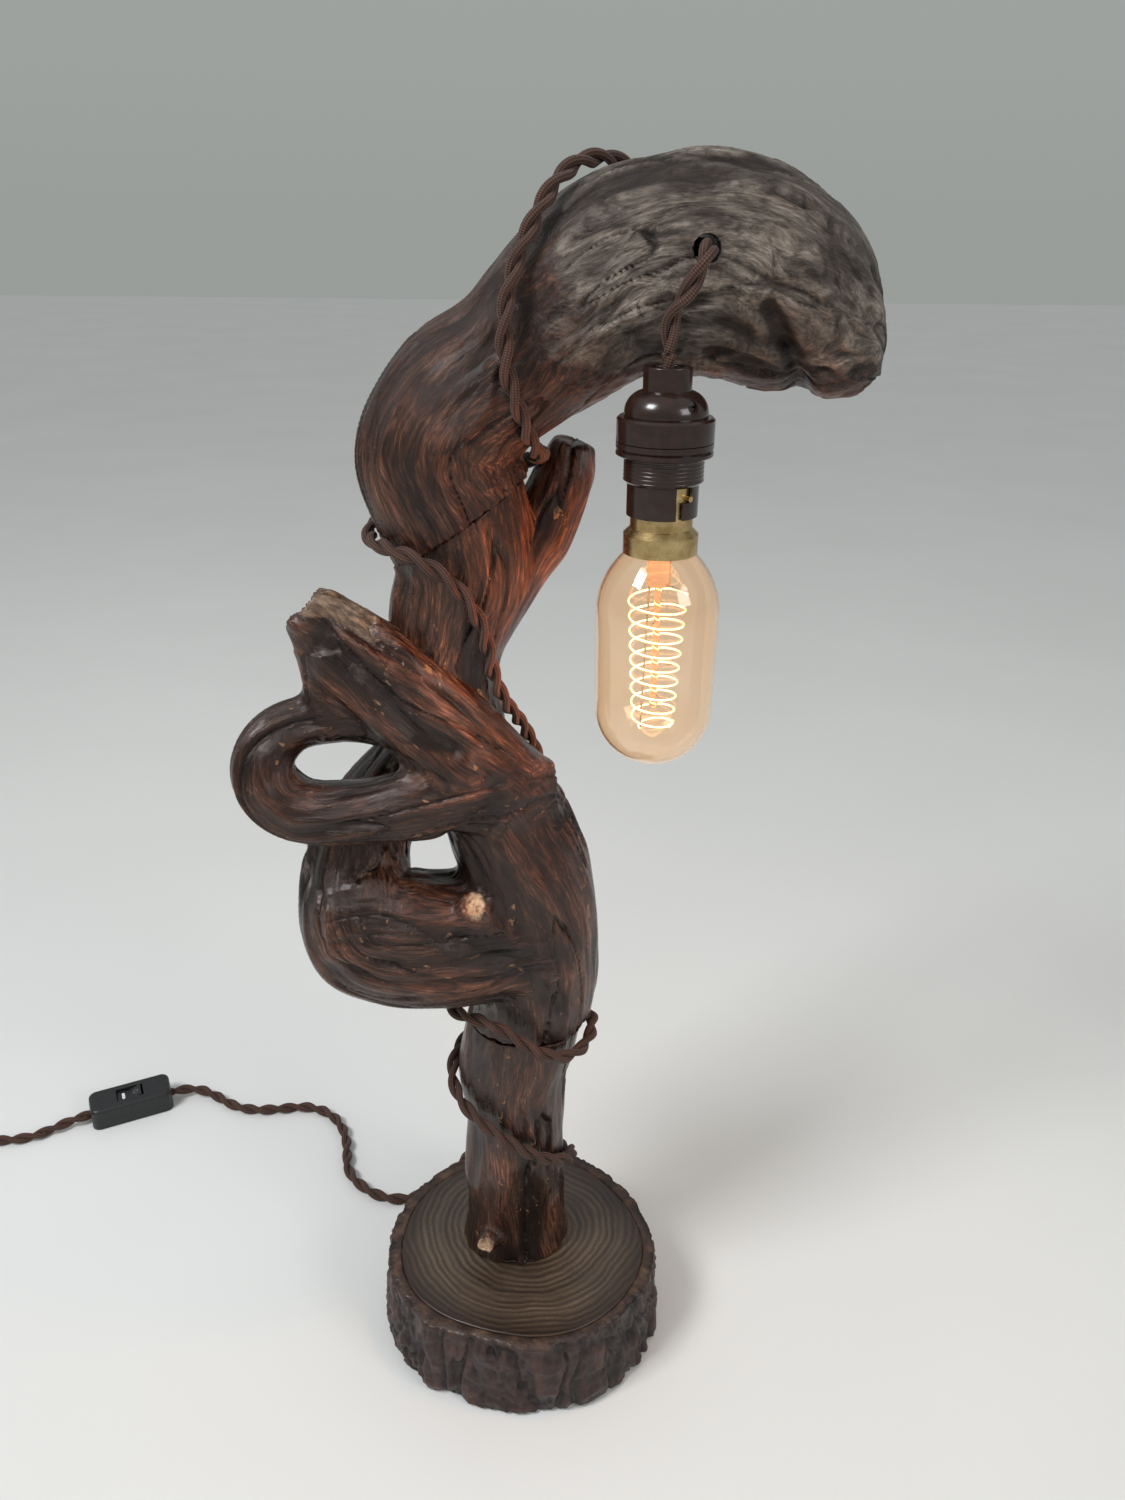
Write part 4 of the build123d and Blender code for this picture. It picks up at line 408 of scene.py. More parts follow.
def weathered_wood():
    """Grey weathered wood of the head: swirling torn streaks and dark pits, red-brown where the varnish stays, with
    painted shade in the hollows and painted light on the ridges.
    """
    material, tree, shader = finish_of("weathered_wood")
    streaks, fibres, patches, _ = grain_in(tree, 0.85, 16.0, 1.7)
    burl, mottle, stains, flecks = grain_in(tree, 0.21, 34.0, 7.0)
    grey = ramp(
        tree, burl, (0.34, (0.024, 0.0175, 0.0145)), (0.42, (0.076, 0.061, 0.052)), (0.51, (0.140, 0.119, 0.103)),
        (0.60, (0.200, 0.175, 0.153)), (0.70, (0.34, 0.307, 0.272)),
    )
    grey = toned(tree, grey, mottle, (0.36, (0.55, 0.52, 0.50)), (0.5, 1.0), (0.64, (1.3, 1.29, 1.27)))
    grey = toned(tree, grey, stains, (0.38, (0.50, 0.45, 0.42)), (0.55, (1.1, 1.09, 1.08)))
    grey = toned(
        tree, grey, streaks, (0.34, (0.42, 0.38, 0.36)), (0.43, (0.94, 0.93, 0.92)), (0.64, (1.10, 1.10, 1.09))
    )
    brown = ramp(
        tree, streaks, (0.32, (0.006, 0.0032, 0.0026)), (0.45, (0.026, 0.0115, 0.0078)), (0.56, (0.066, 0.028, 0.017)),
        (0.74, (0.21, 0.105, 0.06)),
    )
    brown = toned(tree, brown, patches, (0.34, (0.25, 0.22, 0.22)), (0.62, (1.15, 1.1, 1.05)))
    edge = sum_of(tree, "ADD", stored(tree, "weathered"), about_zero(tree, flecks, 1.3))
    share = ramp(tree, edge, (0.30, 0.0), (0.80, 1.0))
    # Painted shade and light: the stored relief darkens the hollows and pits and lightens the ridges.
    colour = toned(
        tree, mixed(tree, "MIX", share, brown, grey), stored(tree, "relief"), (0.15, (0.14, 0.12, 0.11)),
        (0.42, (0.85, 0.84, 0.83)), (0.80, (1.45, 1.42, 1.38)),
    )
    colour = toned(tree, colour, fibres, (0.35, (0.62, 0.6, 0.58)), (0.65, 1.16), share=0.85)
    colour = toned(tree, colour, flecks, (0.33, (0.16, 0.14, 0.13)), (0.38, 1.0), share=share)
    height = sum_of(tree, "ADD", sum_of(tree, "ADD", streaks, mottle), sum_of(tree, "MULTIPLY", fibres, 0.4))
    settle(
        tree, shader, Base_Color=colour, Roughness=ramp(tree, share, (0.0, 0.24), (1.0, 0.52)),
        Specular_IOR_Level=0.4, Specular_Tint=(1.0, 0.86, 0.82, 1.0), Coat_Weight=0.08, Coat_Roughness=0.25,
        Normal=relief_of(tree, height, 0.6, 0.0014),
    )
    return material


def ringed_wood():
    """End grain of the slice: growth rings round an off-centre pith, wavering, dark at the rim, under varnish."""
    material, tree, shader = finish_of("ringed_wood")
    place = own_place(tree)
    centred = put(tree, "Mapping", Vector=place, Location=(-0.004, -0.010, 0.0), Scale=(1.0, 1.06, 0.0)).outputs[0]
    length = put(tree, "VectorMath", operation="LENGTH", in_0=centred).outputs["Value"]
    reach = sum_of(tree, "ADD", length, about_zero(tree, noise(tree, place, 18.0, 3.0), 0.016))
    ring = sum_of(tree, "SINE", sum_of(tree, "MULTIPLY", reach, 1850.0))
    uneven = noise(tree, put(tree, "CombineXYZ", X=reach).outputs[0], 240.0, 5.0, 0.65)
    colour = ramp(
        tree, sum_of(tree, "ADD", sum_of(tree, "MULTIPLY", ring, 0.14), uneven), (0.22, (0.026, 0.016, 0.0105)),
        (0.5, (0.070, 0.047, 0.030)), (0.78, (0.145, 0.102, 0.066)),
    )
    patch = noise(tree, place, 26.0)
    colour = toned(tree, colour, patch, (0.3, (0.55, 0.52, 0.5)), (0.7, (1.15, 1.12, 1.08)), share=0.9)
    colour = toned(tree, colour, noise(tree, place, 900.0, 3.0), (0.35, (0.72, 0.7, 0.68)), (0.65, 1.1), share=0.7)
    colour = toned(tree, colour, stored(tree, "rim"), (0.80, 1.0), (0.97, (0.42, 0.3, 0.24)))
    settle(
        tree, shader, Base_Color=colour, Roughness=ramp(tree, uneven, (0.3, 0.34), (0.7, 0.5)), Coat_Weight=0.25,
        Coat_Roughness=0.22, Normal=relief_of(tree, ring, 0.12, 0.0004),
    )
    return material


def bark_finish():
    """Bark: dark red-brown plates, black fissures deepened by painted shade, plate tops lit by painted light, and a
    paler inner line at the sawn edge.
    """
    material, tree, shader = finish_of("furrowed_bark")
    drawn = stretched(tree, own_place(tree), (1.0, 1.0, 0.35))
    patch = noise(tree, drawn, 120.0, 6.0, 0.65)
    colour = ramp(
        tree, patch, (0.32, (0.005, 0.0026, 0.0024)), (0.5, (0.018, 0.0078, 0.006)), (0.68, (0.050, 0.022, 0.016))
    )
    # Painted shade and light: the relief darkens the fissures and lightens the tops of the plates.
    colour = toned(tree, colour, stored(tree, "relief"), (0.25, (0.12, 0.1, 0.09)), (0.6, 0.9), (0.95, (1.5, 1.4, 1.3)))
    inner = ramp(
        tree, patch, (0.34, (0.016, 0.008, 0.006)), (0.5, (0.046, 0.024, 0.016)), (0.66, (0.115, 0.067, 0.043))
    )
    settle(
        tree, shader, Base_Color=mixed(tree, "MIX", stored(tree, "cut"), colour, inner),
        Roughness=ramp(tree, patch, (0.3, 0.42), (0.7, 0.62)), Coat_Weight=0.2, Coat_Roughness=0.25,
        Specular_Tint=(1.0, 0.84, 0.80, 1.0), Normal=relief_of(tree, noise(tree, drawn, 420.0, 5.0, 0.6), 0.8, 0.0012),
    )
    return material


def braided_cloth():
    """Cloth of the flex: a fine diamond braid round each strand, brown with a rust tint, with painted shade in the
    braid's grooves and painted light on its crowns.
    """
    material, tree, shader = finish_of("braided_cloth")
    parts = put(tree, "SeparateXYZ", Vector=stored(tree, "braid", "Vector")).outputs
    round_it = sum_of(tree, "MULTIPLY", sum_of(tree, "ARCTAN2", parts["Y"], parts["X"]), 4.0)
    along = sum_of(tree, "MULTIPLY", parts["Z"], 4.2)
    left, right = (sum_of(tree, "SINE", sum_of(tree, lean, round_it, along)) for lean in ("ADD", "SUBTRACT"))
    weave = sum_of(tree, "MULTIPLY", left, right)
    height = sum_of(tree, "ADD", sum_of(tree, "MULTIPLY", weave, 0.5), 0.5)
    # Painted shade and light: the colour runs from dark in the grooves of the weave to light on its crowns.
    colour = ramp(
        tree, height, (0.1, (0.018, 0.0078, 0.0055)), (0.5, (0.058, 0.0225, 0.0138)), (0.9, (0.120, 0.049, 0.029))
    )
    dull = noise(tree, own_place(tree), 140.0)
    settle(
        tree, shader, Base_Color=toned(tree, colour, dull, (0.3, (0.7, 0.68, 0.66)), (0.7, (1.15, 1.1, 1.05))),
        Roughness=ramp(tree, height, (0.0, 0.85), (1.0, 0.68)), Sheen_Weight=0.08, Sheen_Roughness=0.4,
        Normal=relief_of(tree, height, 0.7, 0.0005),
    )
    return material


def moulded(name, dark, light, roughness, scale, coat=0.0, relief=0.05):
    """A moulded plastic: two close colours in a fine mottle, with faint relief."""
    material, tree, shader = finish_of(name)
    place = own_place(tree)
    fine = noise(tree, place, scale * 7, 3.0)
    settle(
        tree, shader, Base_Color=ramp(tree, noise(tree, place, scale, 5.0, 0.6), (0.35, dark), (0.65, light)),
        Roughness=ramp(tree, fine, (0.3, roughness * 0.8), (0.7, min(1.0, roughness * 1.25))), Coat_Weight=coat,
        Coat_Roughness=0.08, Normal=relief_of(tree, fine, relief, 0.0003),
    )
    return material


def metal(name, dark, light, roughness, scale):
    """A metal with a faint tarnish and rubbed roughness."""
    material, tree, shader = finish_of(name)
    place = own_place(tree)
    rubbed = noise(tree, stretched(tree, place, (1.0, 1.0, 14.0)), scale * 2, 3.0)
    settle(
        tree, shader, Base_Color=ramp(tree, noise(tree, place, scale, 5.0, 0.6), (0.32, dark), (0.62, light)),
        Metallic=1.0, Roughness=ramp(tree, rubbed, (0.3, roughness * 0.75), (0.7, roughness * 1.4)),
        Normal=relief_of(tree, rubbed, 0.04, 0.0002),
    )
    return material


def tinted_glass(name, tint, painted_glow):
    """Clear glass with a faintly clouded tint, and a warm emission as painted glow standing in for the wire's light in
    it.
    """
    material, tree, shader = finish_of(name)
    deeper = tuple(channel ** 1.5 for channel in tint)
    # The emission is a painted glow: the glass itself gives off the warm light that stands for the wire's light in it.
    settle(
        tree, shader, Base_Color=ramp(tree, noise(tree, own_place(tree), 40.0, 2.0), (0.3, deeper), (0.7, tint)),
        Roughness=0.02, Transmission_Weight=1.0, IOR=1.45, Emission_Color=(1.0, 0.46, 0.2, 1.0),
        Emission_Strength=painted_glow,
    )
    return material


def glowing_wire():
    """Carbon wire at full glow, redder towards its edges."""
    material, tree, shader = finish_of("glowing_wire")
    core = ramp(tree, noise(tree, own_place(tree), 90.0, 2.0), (0.3, (1.0, 0.66, 0.30)), (0.7, (1.0, 0.76, 0.42)))
    edge = put(tree, "LayerWeight", Blend=0.35).outputs["Facing"]
    settle(
        tree, shader, Base_Color=(0.05, 0.03, 0.02, 1.0), Emission_Strength=7.0,
        Emission_Color=mixed(tree, "MIX", edge, core, (0.9, 0.24, 0.04, 1.0)),
    )
    return material


varnish = varnished_wood()
weather = weathered_wood()
rings = ringed_wood()
bark = bark_finish()
cloth = braided_cloth()
# Plastics, felt, pegs and strap: dark and light colour, roughness, scale of the mottle, coat and relief
bakelite = moulded("brown_bakelite", (0.014, 0.0055, 0.004), (0.028, 0.011, 0.0075), 0.22, 260.0, 0.2, 0.03)
black = moulded("black_plastic", (0.008, 0.008, 0.009), (0.016, 0.016, 0.017), 0.38, 500.0, 0.0, 0.08)
felt = moulded("green_felt", (0.020, 0.032, 0.022), (0.045, 0.062, 0.046), 0.95, 900.0, 0.0, 0.6)
peg = moulded("beech_peg", (0.30, 0.19, 0.11), (0.46, 0.31, 0.19), 0.6, 300.0, 0.0, 0.2)
strap = moulded("nylon_strap", (0.010, 0.010, 0.011), (0.03, 0.03, 0.031), 0.6, 1200.0, 0.0, 0.4)
white_mark = moulded("white_inlay", (0.74, 0.75, 0.75), (0.84, 0.85, 0.85), 0.4, 700.0)
grey_mark = moulded("grey_inlay", (0.10, 0.10, 0.105), (0.15, 0.15, 0.155), 0.5, 700.0)
# Metals: dark and light colour, roughness and scale of the tarnish. Glass: tint and painted glow
brass = metal("worn_brass", (0.38, 0.25, 0.10), (0.64, 0.47, 0.23), 0.26, 180.0)
dark_screw = metal("dark_screw", (0.05, 0.045, 0.042), (0.13, 0.12, 0.11), 0.35, 260.0)
steel = metal("plated_steel", (0.44, 0.44, 0.45), (0.66, 0.66, 0.67), 0.3, 260.0)
wire = metal("lead_wire", (0.34, 0.27, 0.22), (0.5, 0.42, 0.36), 0.3, 260.0)
amber = tinted_glass("amber_glass", (1.0, 0.90, 0.77), 0.035)
clear = tinted_glass("stem_glass", (1.0, 0.72, 0.55), 0.12)
black_bead = moulded("black_glass_bead", (0.006, 0.006, 0.008), (0.014, 0.014, 0.018), 0.08, 300.0, 0.6, 0.02)
glow = glowing_wire()

FINISHES = {
    varnish: ["foot_stem", "knot_stem", "upper_stem"],
    weather: ["arch_head"],
    rings: ["base_slice"],
    bark: ["base_bark"],
    felt: ["base_felt"],
    peg: ["foot_dowel", "neck_dowel", "arch_dowel"],
    steel: ["coach_screw", "coach_washer", "switch_screws", "switch_axle", "plunger_springs"],
    cloth: ["flex_on_stem", "flex_in_head", "flex_drop_upper", "flex_drop_lower", "flex_in_holder", "flex_to_switch",
            "flex_to_coil", "flex_coil", "flex_to_plug"],
    strap: ["coil_tie"],
    black: ["switch_top", "switch_bottom", "switch_rocker", "plug_cover", "plug_base"],
    bakelite: ["holder_cap", "holder_body", "shade_ring", "holder_insulator"],
    dark_screw: ["locking_screw"],
    brass: ["bulb_cap", "bayonet_pins", "terminal_screws", "plungers", "switch_contacts",
            "plug_earth_pin", "plug_line_pins", "plug_fuse", "plug_screw", "cap_contacts"],
    black_bead: ["cap_glass"],
    amber: ["bulb_glass"],
    clear: ["bulb_stem"],
    wire: ["lead_wires", "support_wires"],
    glow: ["filament"],
}
for material, names in FINISHES.items():
    for name in names:
        nodes[name].data.materials.clear()
        nodes[name].data.materials.append(material)

# Cords: the wound flex, its drop to the lampholder, and the flex on the table
stem_line = smooth_line("stem_line", STEM_ROUTE)
stem_flex, _ = twisted_flex("stem_flex", stem_line, ["flex_on_stem", "flex_in_head"])
table_flex, table_path = twisted_flex("table_flex", smooth_line("switch_line", SWITCH_ROUTE), ["flex_to_switch"])

coil = coil_points()
tail_way = (coil[-1] - coil[-2]) * (1, 1, 0)
tail_way /= np.linalg.norm(tail_way)
spare_route = np.concatenate([
    COIL_ROUTE, coil, coil[-1:] + tail_way * PLUG_TAIL / 2, coil[-1:] + tail_way * PLUG_TAIL,
])
spare_line = smooth_line("spare_line", spare_route)
spare_flex, spare_path = twisted_flex("spare_flex", spare_line, ["flex_to_coil", "flex_coil", "flex_to_plug"])
for piece in (stem_flex, table_flex, spare_flex):
    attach(piece, "stand")

# Tapered sleeve with ribs where the flex goes into the plug
spare_reach = np.r_[0, np.linalg.norm(np.diff(spare_path, axis=0), axis=1)].cumsum()
sleeve_start = spare_reach[-1] - SLEEVE_LENGTH * MM
sleeve_line, sleeve_reach = even_steps(spare_path[spare_reach > sleeve_start], SLEEVE_STEP * MM)
ribs = np.tanh(4 * np.sin(2 * pi * sleeve_reach / (RIB_PITCH * MM)))
sleeve_radius = (SLEEVE_RADIUS + SLEEVE_TAPER * sleeve_reach / sleeve_reach[-1] + RIB_HEIGHT * ribs) * MM
plug_sleeve = new_piece("plug_sleeve", *tube(sleeve_line, sleeve_radius, SLEEVE_SIDES), black)
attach(plug_sleeve, "stand")

drop_line = smooth_line("drop_line", DROP_ROUTE)
upper_part = drop_line[drop_line[:, 2] >= HINGE_HEIGHT - HINGE_LAP]
lower_part = drop_line[drop_line[:, 2] <= HINGE_HEIGHT + HINGE_LAP]
drop_flex, drop_path = twisted_flex("drop_flex", upper_part, ["flex_drop_upper"], DROP_LAY)
lower_flex, _ = twisted_flex("lower_flex", lower_part, ["flex_drop_lower", "flex_in_holder"], DROP_LAY)
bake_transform(drop_flex)
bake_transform(lower_flex)

# Wood limbs: centre x, centre y, height above the seat, half width and half depth of each ellipse
BASE_TOP, FOOT_TOP, KNOT_TOP, SCARF_MIDDLE = 45.0, 186.0, 334.0, 426.0
SCARF_ANGLE = radians(33.7)
SCARF = np.array([-sin(SCARF_ANGLE), 0.0, cos(SCARF_ANGLE)])
ARCH_SCARF_REACH, UPPER_SCARF_REACH = 60.0, 42.0
UPRIGHT = np.array([0.0, 0.0, 1.0])
FOOT_LIMB = [
    (-4, 8, 0, 27, 25), (-4, 8, 18, 25.2, 22.5), (-4, 8, 41, 25.2, 22), (-3, 8, 74, 23.8, 21.5), (-4, 8, 105, 26, 23.5),
    (0, 8, 126, 27, 24.5), (3, 8, 141, 27.5, 25),
]
FOOT_TWIG = [(-10, 0, 11, 6, 6), (-15.5, -12, 14.5, 5.2, 5.2), (-17.5, -17.5, 16, 4.3, 4.3)]
TRUNK_LIMB = [
    (4, 8, 0, 28, 25.5), (8, 7, 24, 27, 26.5), (8, 6, 50, 28, 26.5), (4, 5, 77, 29, 26.5), (-3.5, 4, 103, 27.5, 25),
    (-13, 4, 125, 24.3, 23), (-26, 5.5, 148, 22.5, 21.5),
]
BEAK_LIMB = [
    (-83, -2, 205, 10.5, 9.5), (-68, -6, 192, 16, 13), (-48.5, -10, 174.5, 22, 16), (-29, -10, 155, 21.5, 17),
    (-11, -6, 135, 20, 17), (3, 3, 112, 17, 14),
]
CHEEK_LIMB = [(-72, -5, 190, 14, 11.5), (-70, -5, 173, 15, 12), (-68, -5, 158, 14, 10.5)]
LOOP_LIMB = [
    (-58, -5, 159, 10, 10), (-74, -4, 160, 10.3, 10), (-92, -8, 158.5, 11, 10.5), (-102.5, -14, 149.5, 12.2, 11.5),
    (-102.5, -18, 135, 13.3, 12.5), (-89, -20, 124, 13.8, 13), (-66, -20, 124, 14, 13.5),
    (-41.5, -18, 127.5, 15.5, 14.5), (-13, -9, 130, 17, 16), (10, 4, 124, 13, 12),
]
CURL_LIMB = [
    (9, 4, 50, 26, 25), (-22, -2, 50.5, 32, 26), (-48, -4, 51.5, 33, 26.5), (-66, -3, 56, 33, 25),
    (-73, 1, 71, 27, 23.5), (-72.5, 9, 87, 23, 21), (-63, 16, 110, 19, 18), (-47, 15, 132, 16.5, 16),
    (-27, 9, 144, 15, 15),
]
BELLY_LIMB = [(-80, -8, 66, 20, 17), (-61, -8, 67, 21, 18), (-42, -8, 60, 20, 18)]
CURL_TWIG = [(-18, -6, 62, 6.5, 5), (-18, -17, 75, 6, 4.6), (-18, -20.5, 79.5, 5.6, 4.2)]
UPPER_LIMB = [
    (-28, 6, 0, 22.5, 21), (-30, 6, 20, 22.5, 21), (-29.5, 6, 38, 22.3, 21), (-26, 6, 55, 24.5, 22),
    (-22, 6, 70, 25.2, 23), (-22, 6, 92, 28.5, 23),
]
BRANCH_LIMB = [
    (-20, 7, 38, 11, 11), (-6, 10, 60, 12, 12), (3.5, 14, 76, 11.6, 11.6), (12, 18.5, 91, 10.8, 10.8),
    (18.5, 22, 106, 9.8, 9.8), (21, 23, 114.5, 8.2, 8.2),
]
ARCH_LIMB = [
    (-22, 6, 0, 31, 26), (-29.5, 5, 26, 31.5, 27), (-19, 5, 45, 29, 27), (0, 4, 58.5, 27, 26), (19, 2, 75, 31, 28),
    (35, 0, 86.5, 34, 29), (51.5, 0, 91, 36, 30), (71, 0, 91.5, 36.5, 30), (87, 0, 86.5, 35.5, 30),
    (103, 0, 77, 31.5, 28), (114, 0, 67.5, 23.5, 23), (121.5, 0, 60, 15.5, 16), (124.5, 0, 56.5, 9, 10),
]
# Hollows and ridges of the wood: a line of points, height and half breadth
FOOT_MARKS = [
    ([(-17, -14, 57), (-15, -15, 78), (-8, -16, 108)], 2.0, 6.0),
    ([(1, -16, 52), (5, -15, 85), (3, -15, 122)], -1.8, 5.0),
    ([(16, -8, 48), (18, -6, 76)], 1.5, 6.0),
    ([(-22, -2, 95), (-20, -6, 130)], -1.5, 6.0),
]
KNOT_MARKS = [
    ([(-75, -16, 386), (-52, -24, 368), (-39, -27, 349), (-25, -26, 342)], -3.5, 4.5),
    ([(-73, -5, 397), (-55, -10, 388), (-42, -19, 377), (-31, -24, 360), (-20, -24, 347)], 2.2, 3.5),
    ([(-67, -17, 386), (-50, -21, 376), (-43, -26, 359)], 1.3, 2.2),
    ([(-18, -25, 330), (-15, -25, 329)], 2.5, 12.0),
    ([(-8, -24, 325), (-12, -25, 312), (-27, -23, 302)], -1.8, 4.0),
    ([(-87, -14, 269), (-59, -23, 259), (-26, -26, 251)], -1.8, 6.0),
    ([(-82, -23, 233), (-48, -30, 244), (-9, -25, 243)], -1.6, 6.0),
    ([(-26, -26, 251), (-1, -24, 237), (19, -17, 211)], -2.0, 6.0),
    ([(-43, 14, 289), (-40, 14, 298)], 5.0, 8.0),
    ([(-86, -7, 386), (-84, -9, 381)], 2.6, 5.0),
    ([(-70, -17, 380), (-62, -19, 372)], -1.8, 3.0),
]
BEAK_TOP_X = [-90, -73, -55, -42, -31, -20]
BEAK_TOP_Z = [398, 397, 388, 377, 360, 347]
ARCH_MARKS = [
    ([(86, -29, 506), (95, -25, 492), (101, -15, 480), (104, 0, 472)], -4.5, 3.6),
    ([(70, -30, 500), (82, -28, 494), (94, -25, 493)], -2.4, 2.4),
    ([(104, -24, 512), (112, -19, 503), (121, -11, 497)], -1.8, 2.2),
    ([(40, -29, 517), (52, -30, 514), (60, -30, 516)], -1.6, 1.8),
    ([(-19, -21, 459), (-9, -21, 474), (-6, -21, 485)], 1.6, 2.5),
    ([(118, -16, 500), (118, -14, 496)], 2.2, 8.0),
    ([(108, -14, 481), (112, -10, 480)], 2.0, 6.0),
]
UPPER_MARKS = [([(9, 16.5, 418), (16, 20.5, 433), (18.5, 22, 439)], 6.0, 12.0)]
# Skin of the wood: steps of a limb, grids, the mixing of limbs where they meet, and the numbers of the noise
LIMB_STEPS = 20
SECTION_DEPTH = 8.0
COARSE = 4
SKIN_BAND = 3.0
MIX_REACH = 2.0
LEAST_SHARE = 0.02
FILLER_BACK = 60
ROWS_AT_ONCE, ROOM_ROWS = 20000, 4000
RELIEF_SPAN = 4.5
BORE_SIDES = 40
HASH_STEPS = (374761393, 668265263, 2147483647)
HASH_TURN, HASH_MASK = 1274126177, 0xFFFFFFFF
CORNERS = np.array([(corner & 1, corner >> 1 & 1, corner >> 2 & 1) for corner in range(8)])


def limb(stations, seat, first=None, last=None, dome=0.0, filler=False):
    """A limb's sections on a smooth curve through its stations, each one as the ten terms of its ellipsoid.

    Its last end may be domed, and a filler takes the grain of the limbs beside it.
    Between two rows the curve is b + t(c - a + t(2a - 5b + 4c - d + t(3b - 3c + d - a))) / 2, over four rows."""
    table = np.array(stations, float)
    centre = table[:, :3] + (0, 0, seat)
    around = np.concatenate([centre[:1], centre, centre[-1:]])
    way = unit(around[2:] - around[:-2])
    if first is not None:
        way[0] = first
    if last is not None:
        way[-1] = last
    rows = np.concatenate([centre, table[:, 3:], way], axis=1)
    rows = np.concatenate([2 * rows[:1] - rows[1:2], rows, 2 * rows[-1:] - rows[-2:-1]])
    a, b, c, d = (rows[shift:len(rows) - 3 + shift, None] for shift in range(4))
    t = (np.arange(LIMB_STEPS) / LIMB_STEPS)[None, :, None]
    curve = b + 0.5 * t * (c - a + t * (2 * a - 5 * b + 4 * c - d + t * (3 * (b - c) + d - a)))
    curve = np.concatenate([curve.reshape(-1, 8), rows[-2:-1]])
    centre, half = curve[:, :3], curve[:, 3:5]
    along = unit(curve[:, 5:])
    across = unit(np.stack([along[:, 2], np.zeros(len(along)), -along[:, 0]], axis=1))
    over = np.cross(along, across)
    scaled = np.stack([across / half[:, :1], over / half[:, 1:], along / SECTION_DEPTH], axis=1)
    shape = np.einsum("nai,naj->nij", scaled, scaled)
    pull = np.einsum("nij,nj->ni", shape, centre)
    terms = [shape[:, 0, 0], shape[:, 1, 1], shape[:, 2, 2], *(2 * shape[:, i, j] for i, j in ((0, 1), (0, 2), (1, 2)))]
    terms += [*(-2 * pull.T), (pull * centre).sum(axis=1)]
    reach = np.concatenate([[0], np.cumsum(np.linalg.norm(np.diff(centre, axis=0), axis=1))])
    return {
        "centre": centre, "half": half, "along": along, "across": across, "over": over, "reach": reach,
        "terms": np.stack(terms), "dome": dome, "filler": filler,
    }


def limb_field(spots, way):
    """Distance of points from a limb's surface, and their place along it, angle round it and size there.

    Each section is an ellipsoid that is thin along the limb: q^2 = (p - c)' M (p - c). The section of least q is
    the point's own, the distance is |p - c|(1 - 1/q), and the limb's ends are flat."""
    x, y, z = spots.T
    terms = np.stack([x * x, y * y, z * z, x * y, x * z, y * z, x, y, z, np.ones(len(x))], axis=1)
    near = np.concatenate([
        (part @ way["terms"]).argmin(axis=1) for part in np.array_split(terms, len(terms) // ROWS_AT_ONCE + 1)
    ])
    local = spots - way["centre"][near]
    a = (local * way["across"][near]).sum(axis=1)
    b = (local * way["over"][near]).sum(axis=1)
    t = (local * way["along"][near]).sum(axis=1)
    half = way["half"][near]
    share = np.sqrt((a / half[:, 0]) ** 2 + (b / half[:, 1]) ** 2 + (t / SECTION_DEPTH) ** 2)
    distance = np.linalg.norm(local, axis=1) * (1 - 1 / np.maximum(share, 1e-3))
    distance = np.where(near == 0, np.maximum(distance, -t), distance)
    distance = np.where(near == len(way["reach"]) - 1, np.maximum(distance, t - way["dome"]), distance)
    return distance, np.stack([way["reach"][near] + t, np.arctan2(b, a), half.mean(axis=1)], axis=1)


def sawn(spots, seat):
    """How far points stand past a sawn plane, within its reach."""
    middle, facing, reach = seat
    past = (spots - middle) @ facing
    out = np.linalg.norm(spots - middle - past[:, None] * facing, axis=1)
    return np.minimum(past, reach - out)


def joined(fields, soften):
    """Distances joined with fillets: min(f, g) - k h^2 / 4 with h = max(k - |f - g|, 0) / k."""
    total = fields[0]
    for field in fields[1:]:
        blend = np.maximum(soften - np.abs(total - field), 0) / soften
        total = np.minimum(total, field) - blend * blend * soften / 4
    return total


def wood_field(spots, ways, soften, seats):
    """Distance from joined limbs between their sawn planes."""
    total = joined([limb_field(spots, way)[0] for way in ways], soften)
    for seat in seats:
        total = np.maximum(total, sawn(spots, seat))
    return total


def finer(field, axis):
    """A grid with COARSE times the points along one axis, on straight lines between the old ones."""
    rows = np.moveaxis(field, axis, 0)
    t = (np.arange(COARSE) / COARSE)[None, :, None, None]
    between = (rows[:-1, None] * (1 - t) + rows[1:, None] * t).reshape(-1, *rows.shape[1:])
    return np.moveaxis(np.concatenate([between, rows[-1:]]), 0, axis)


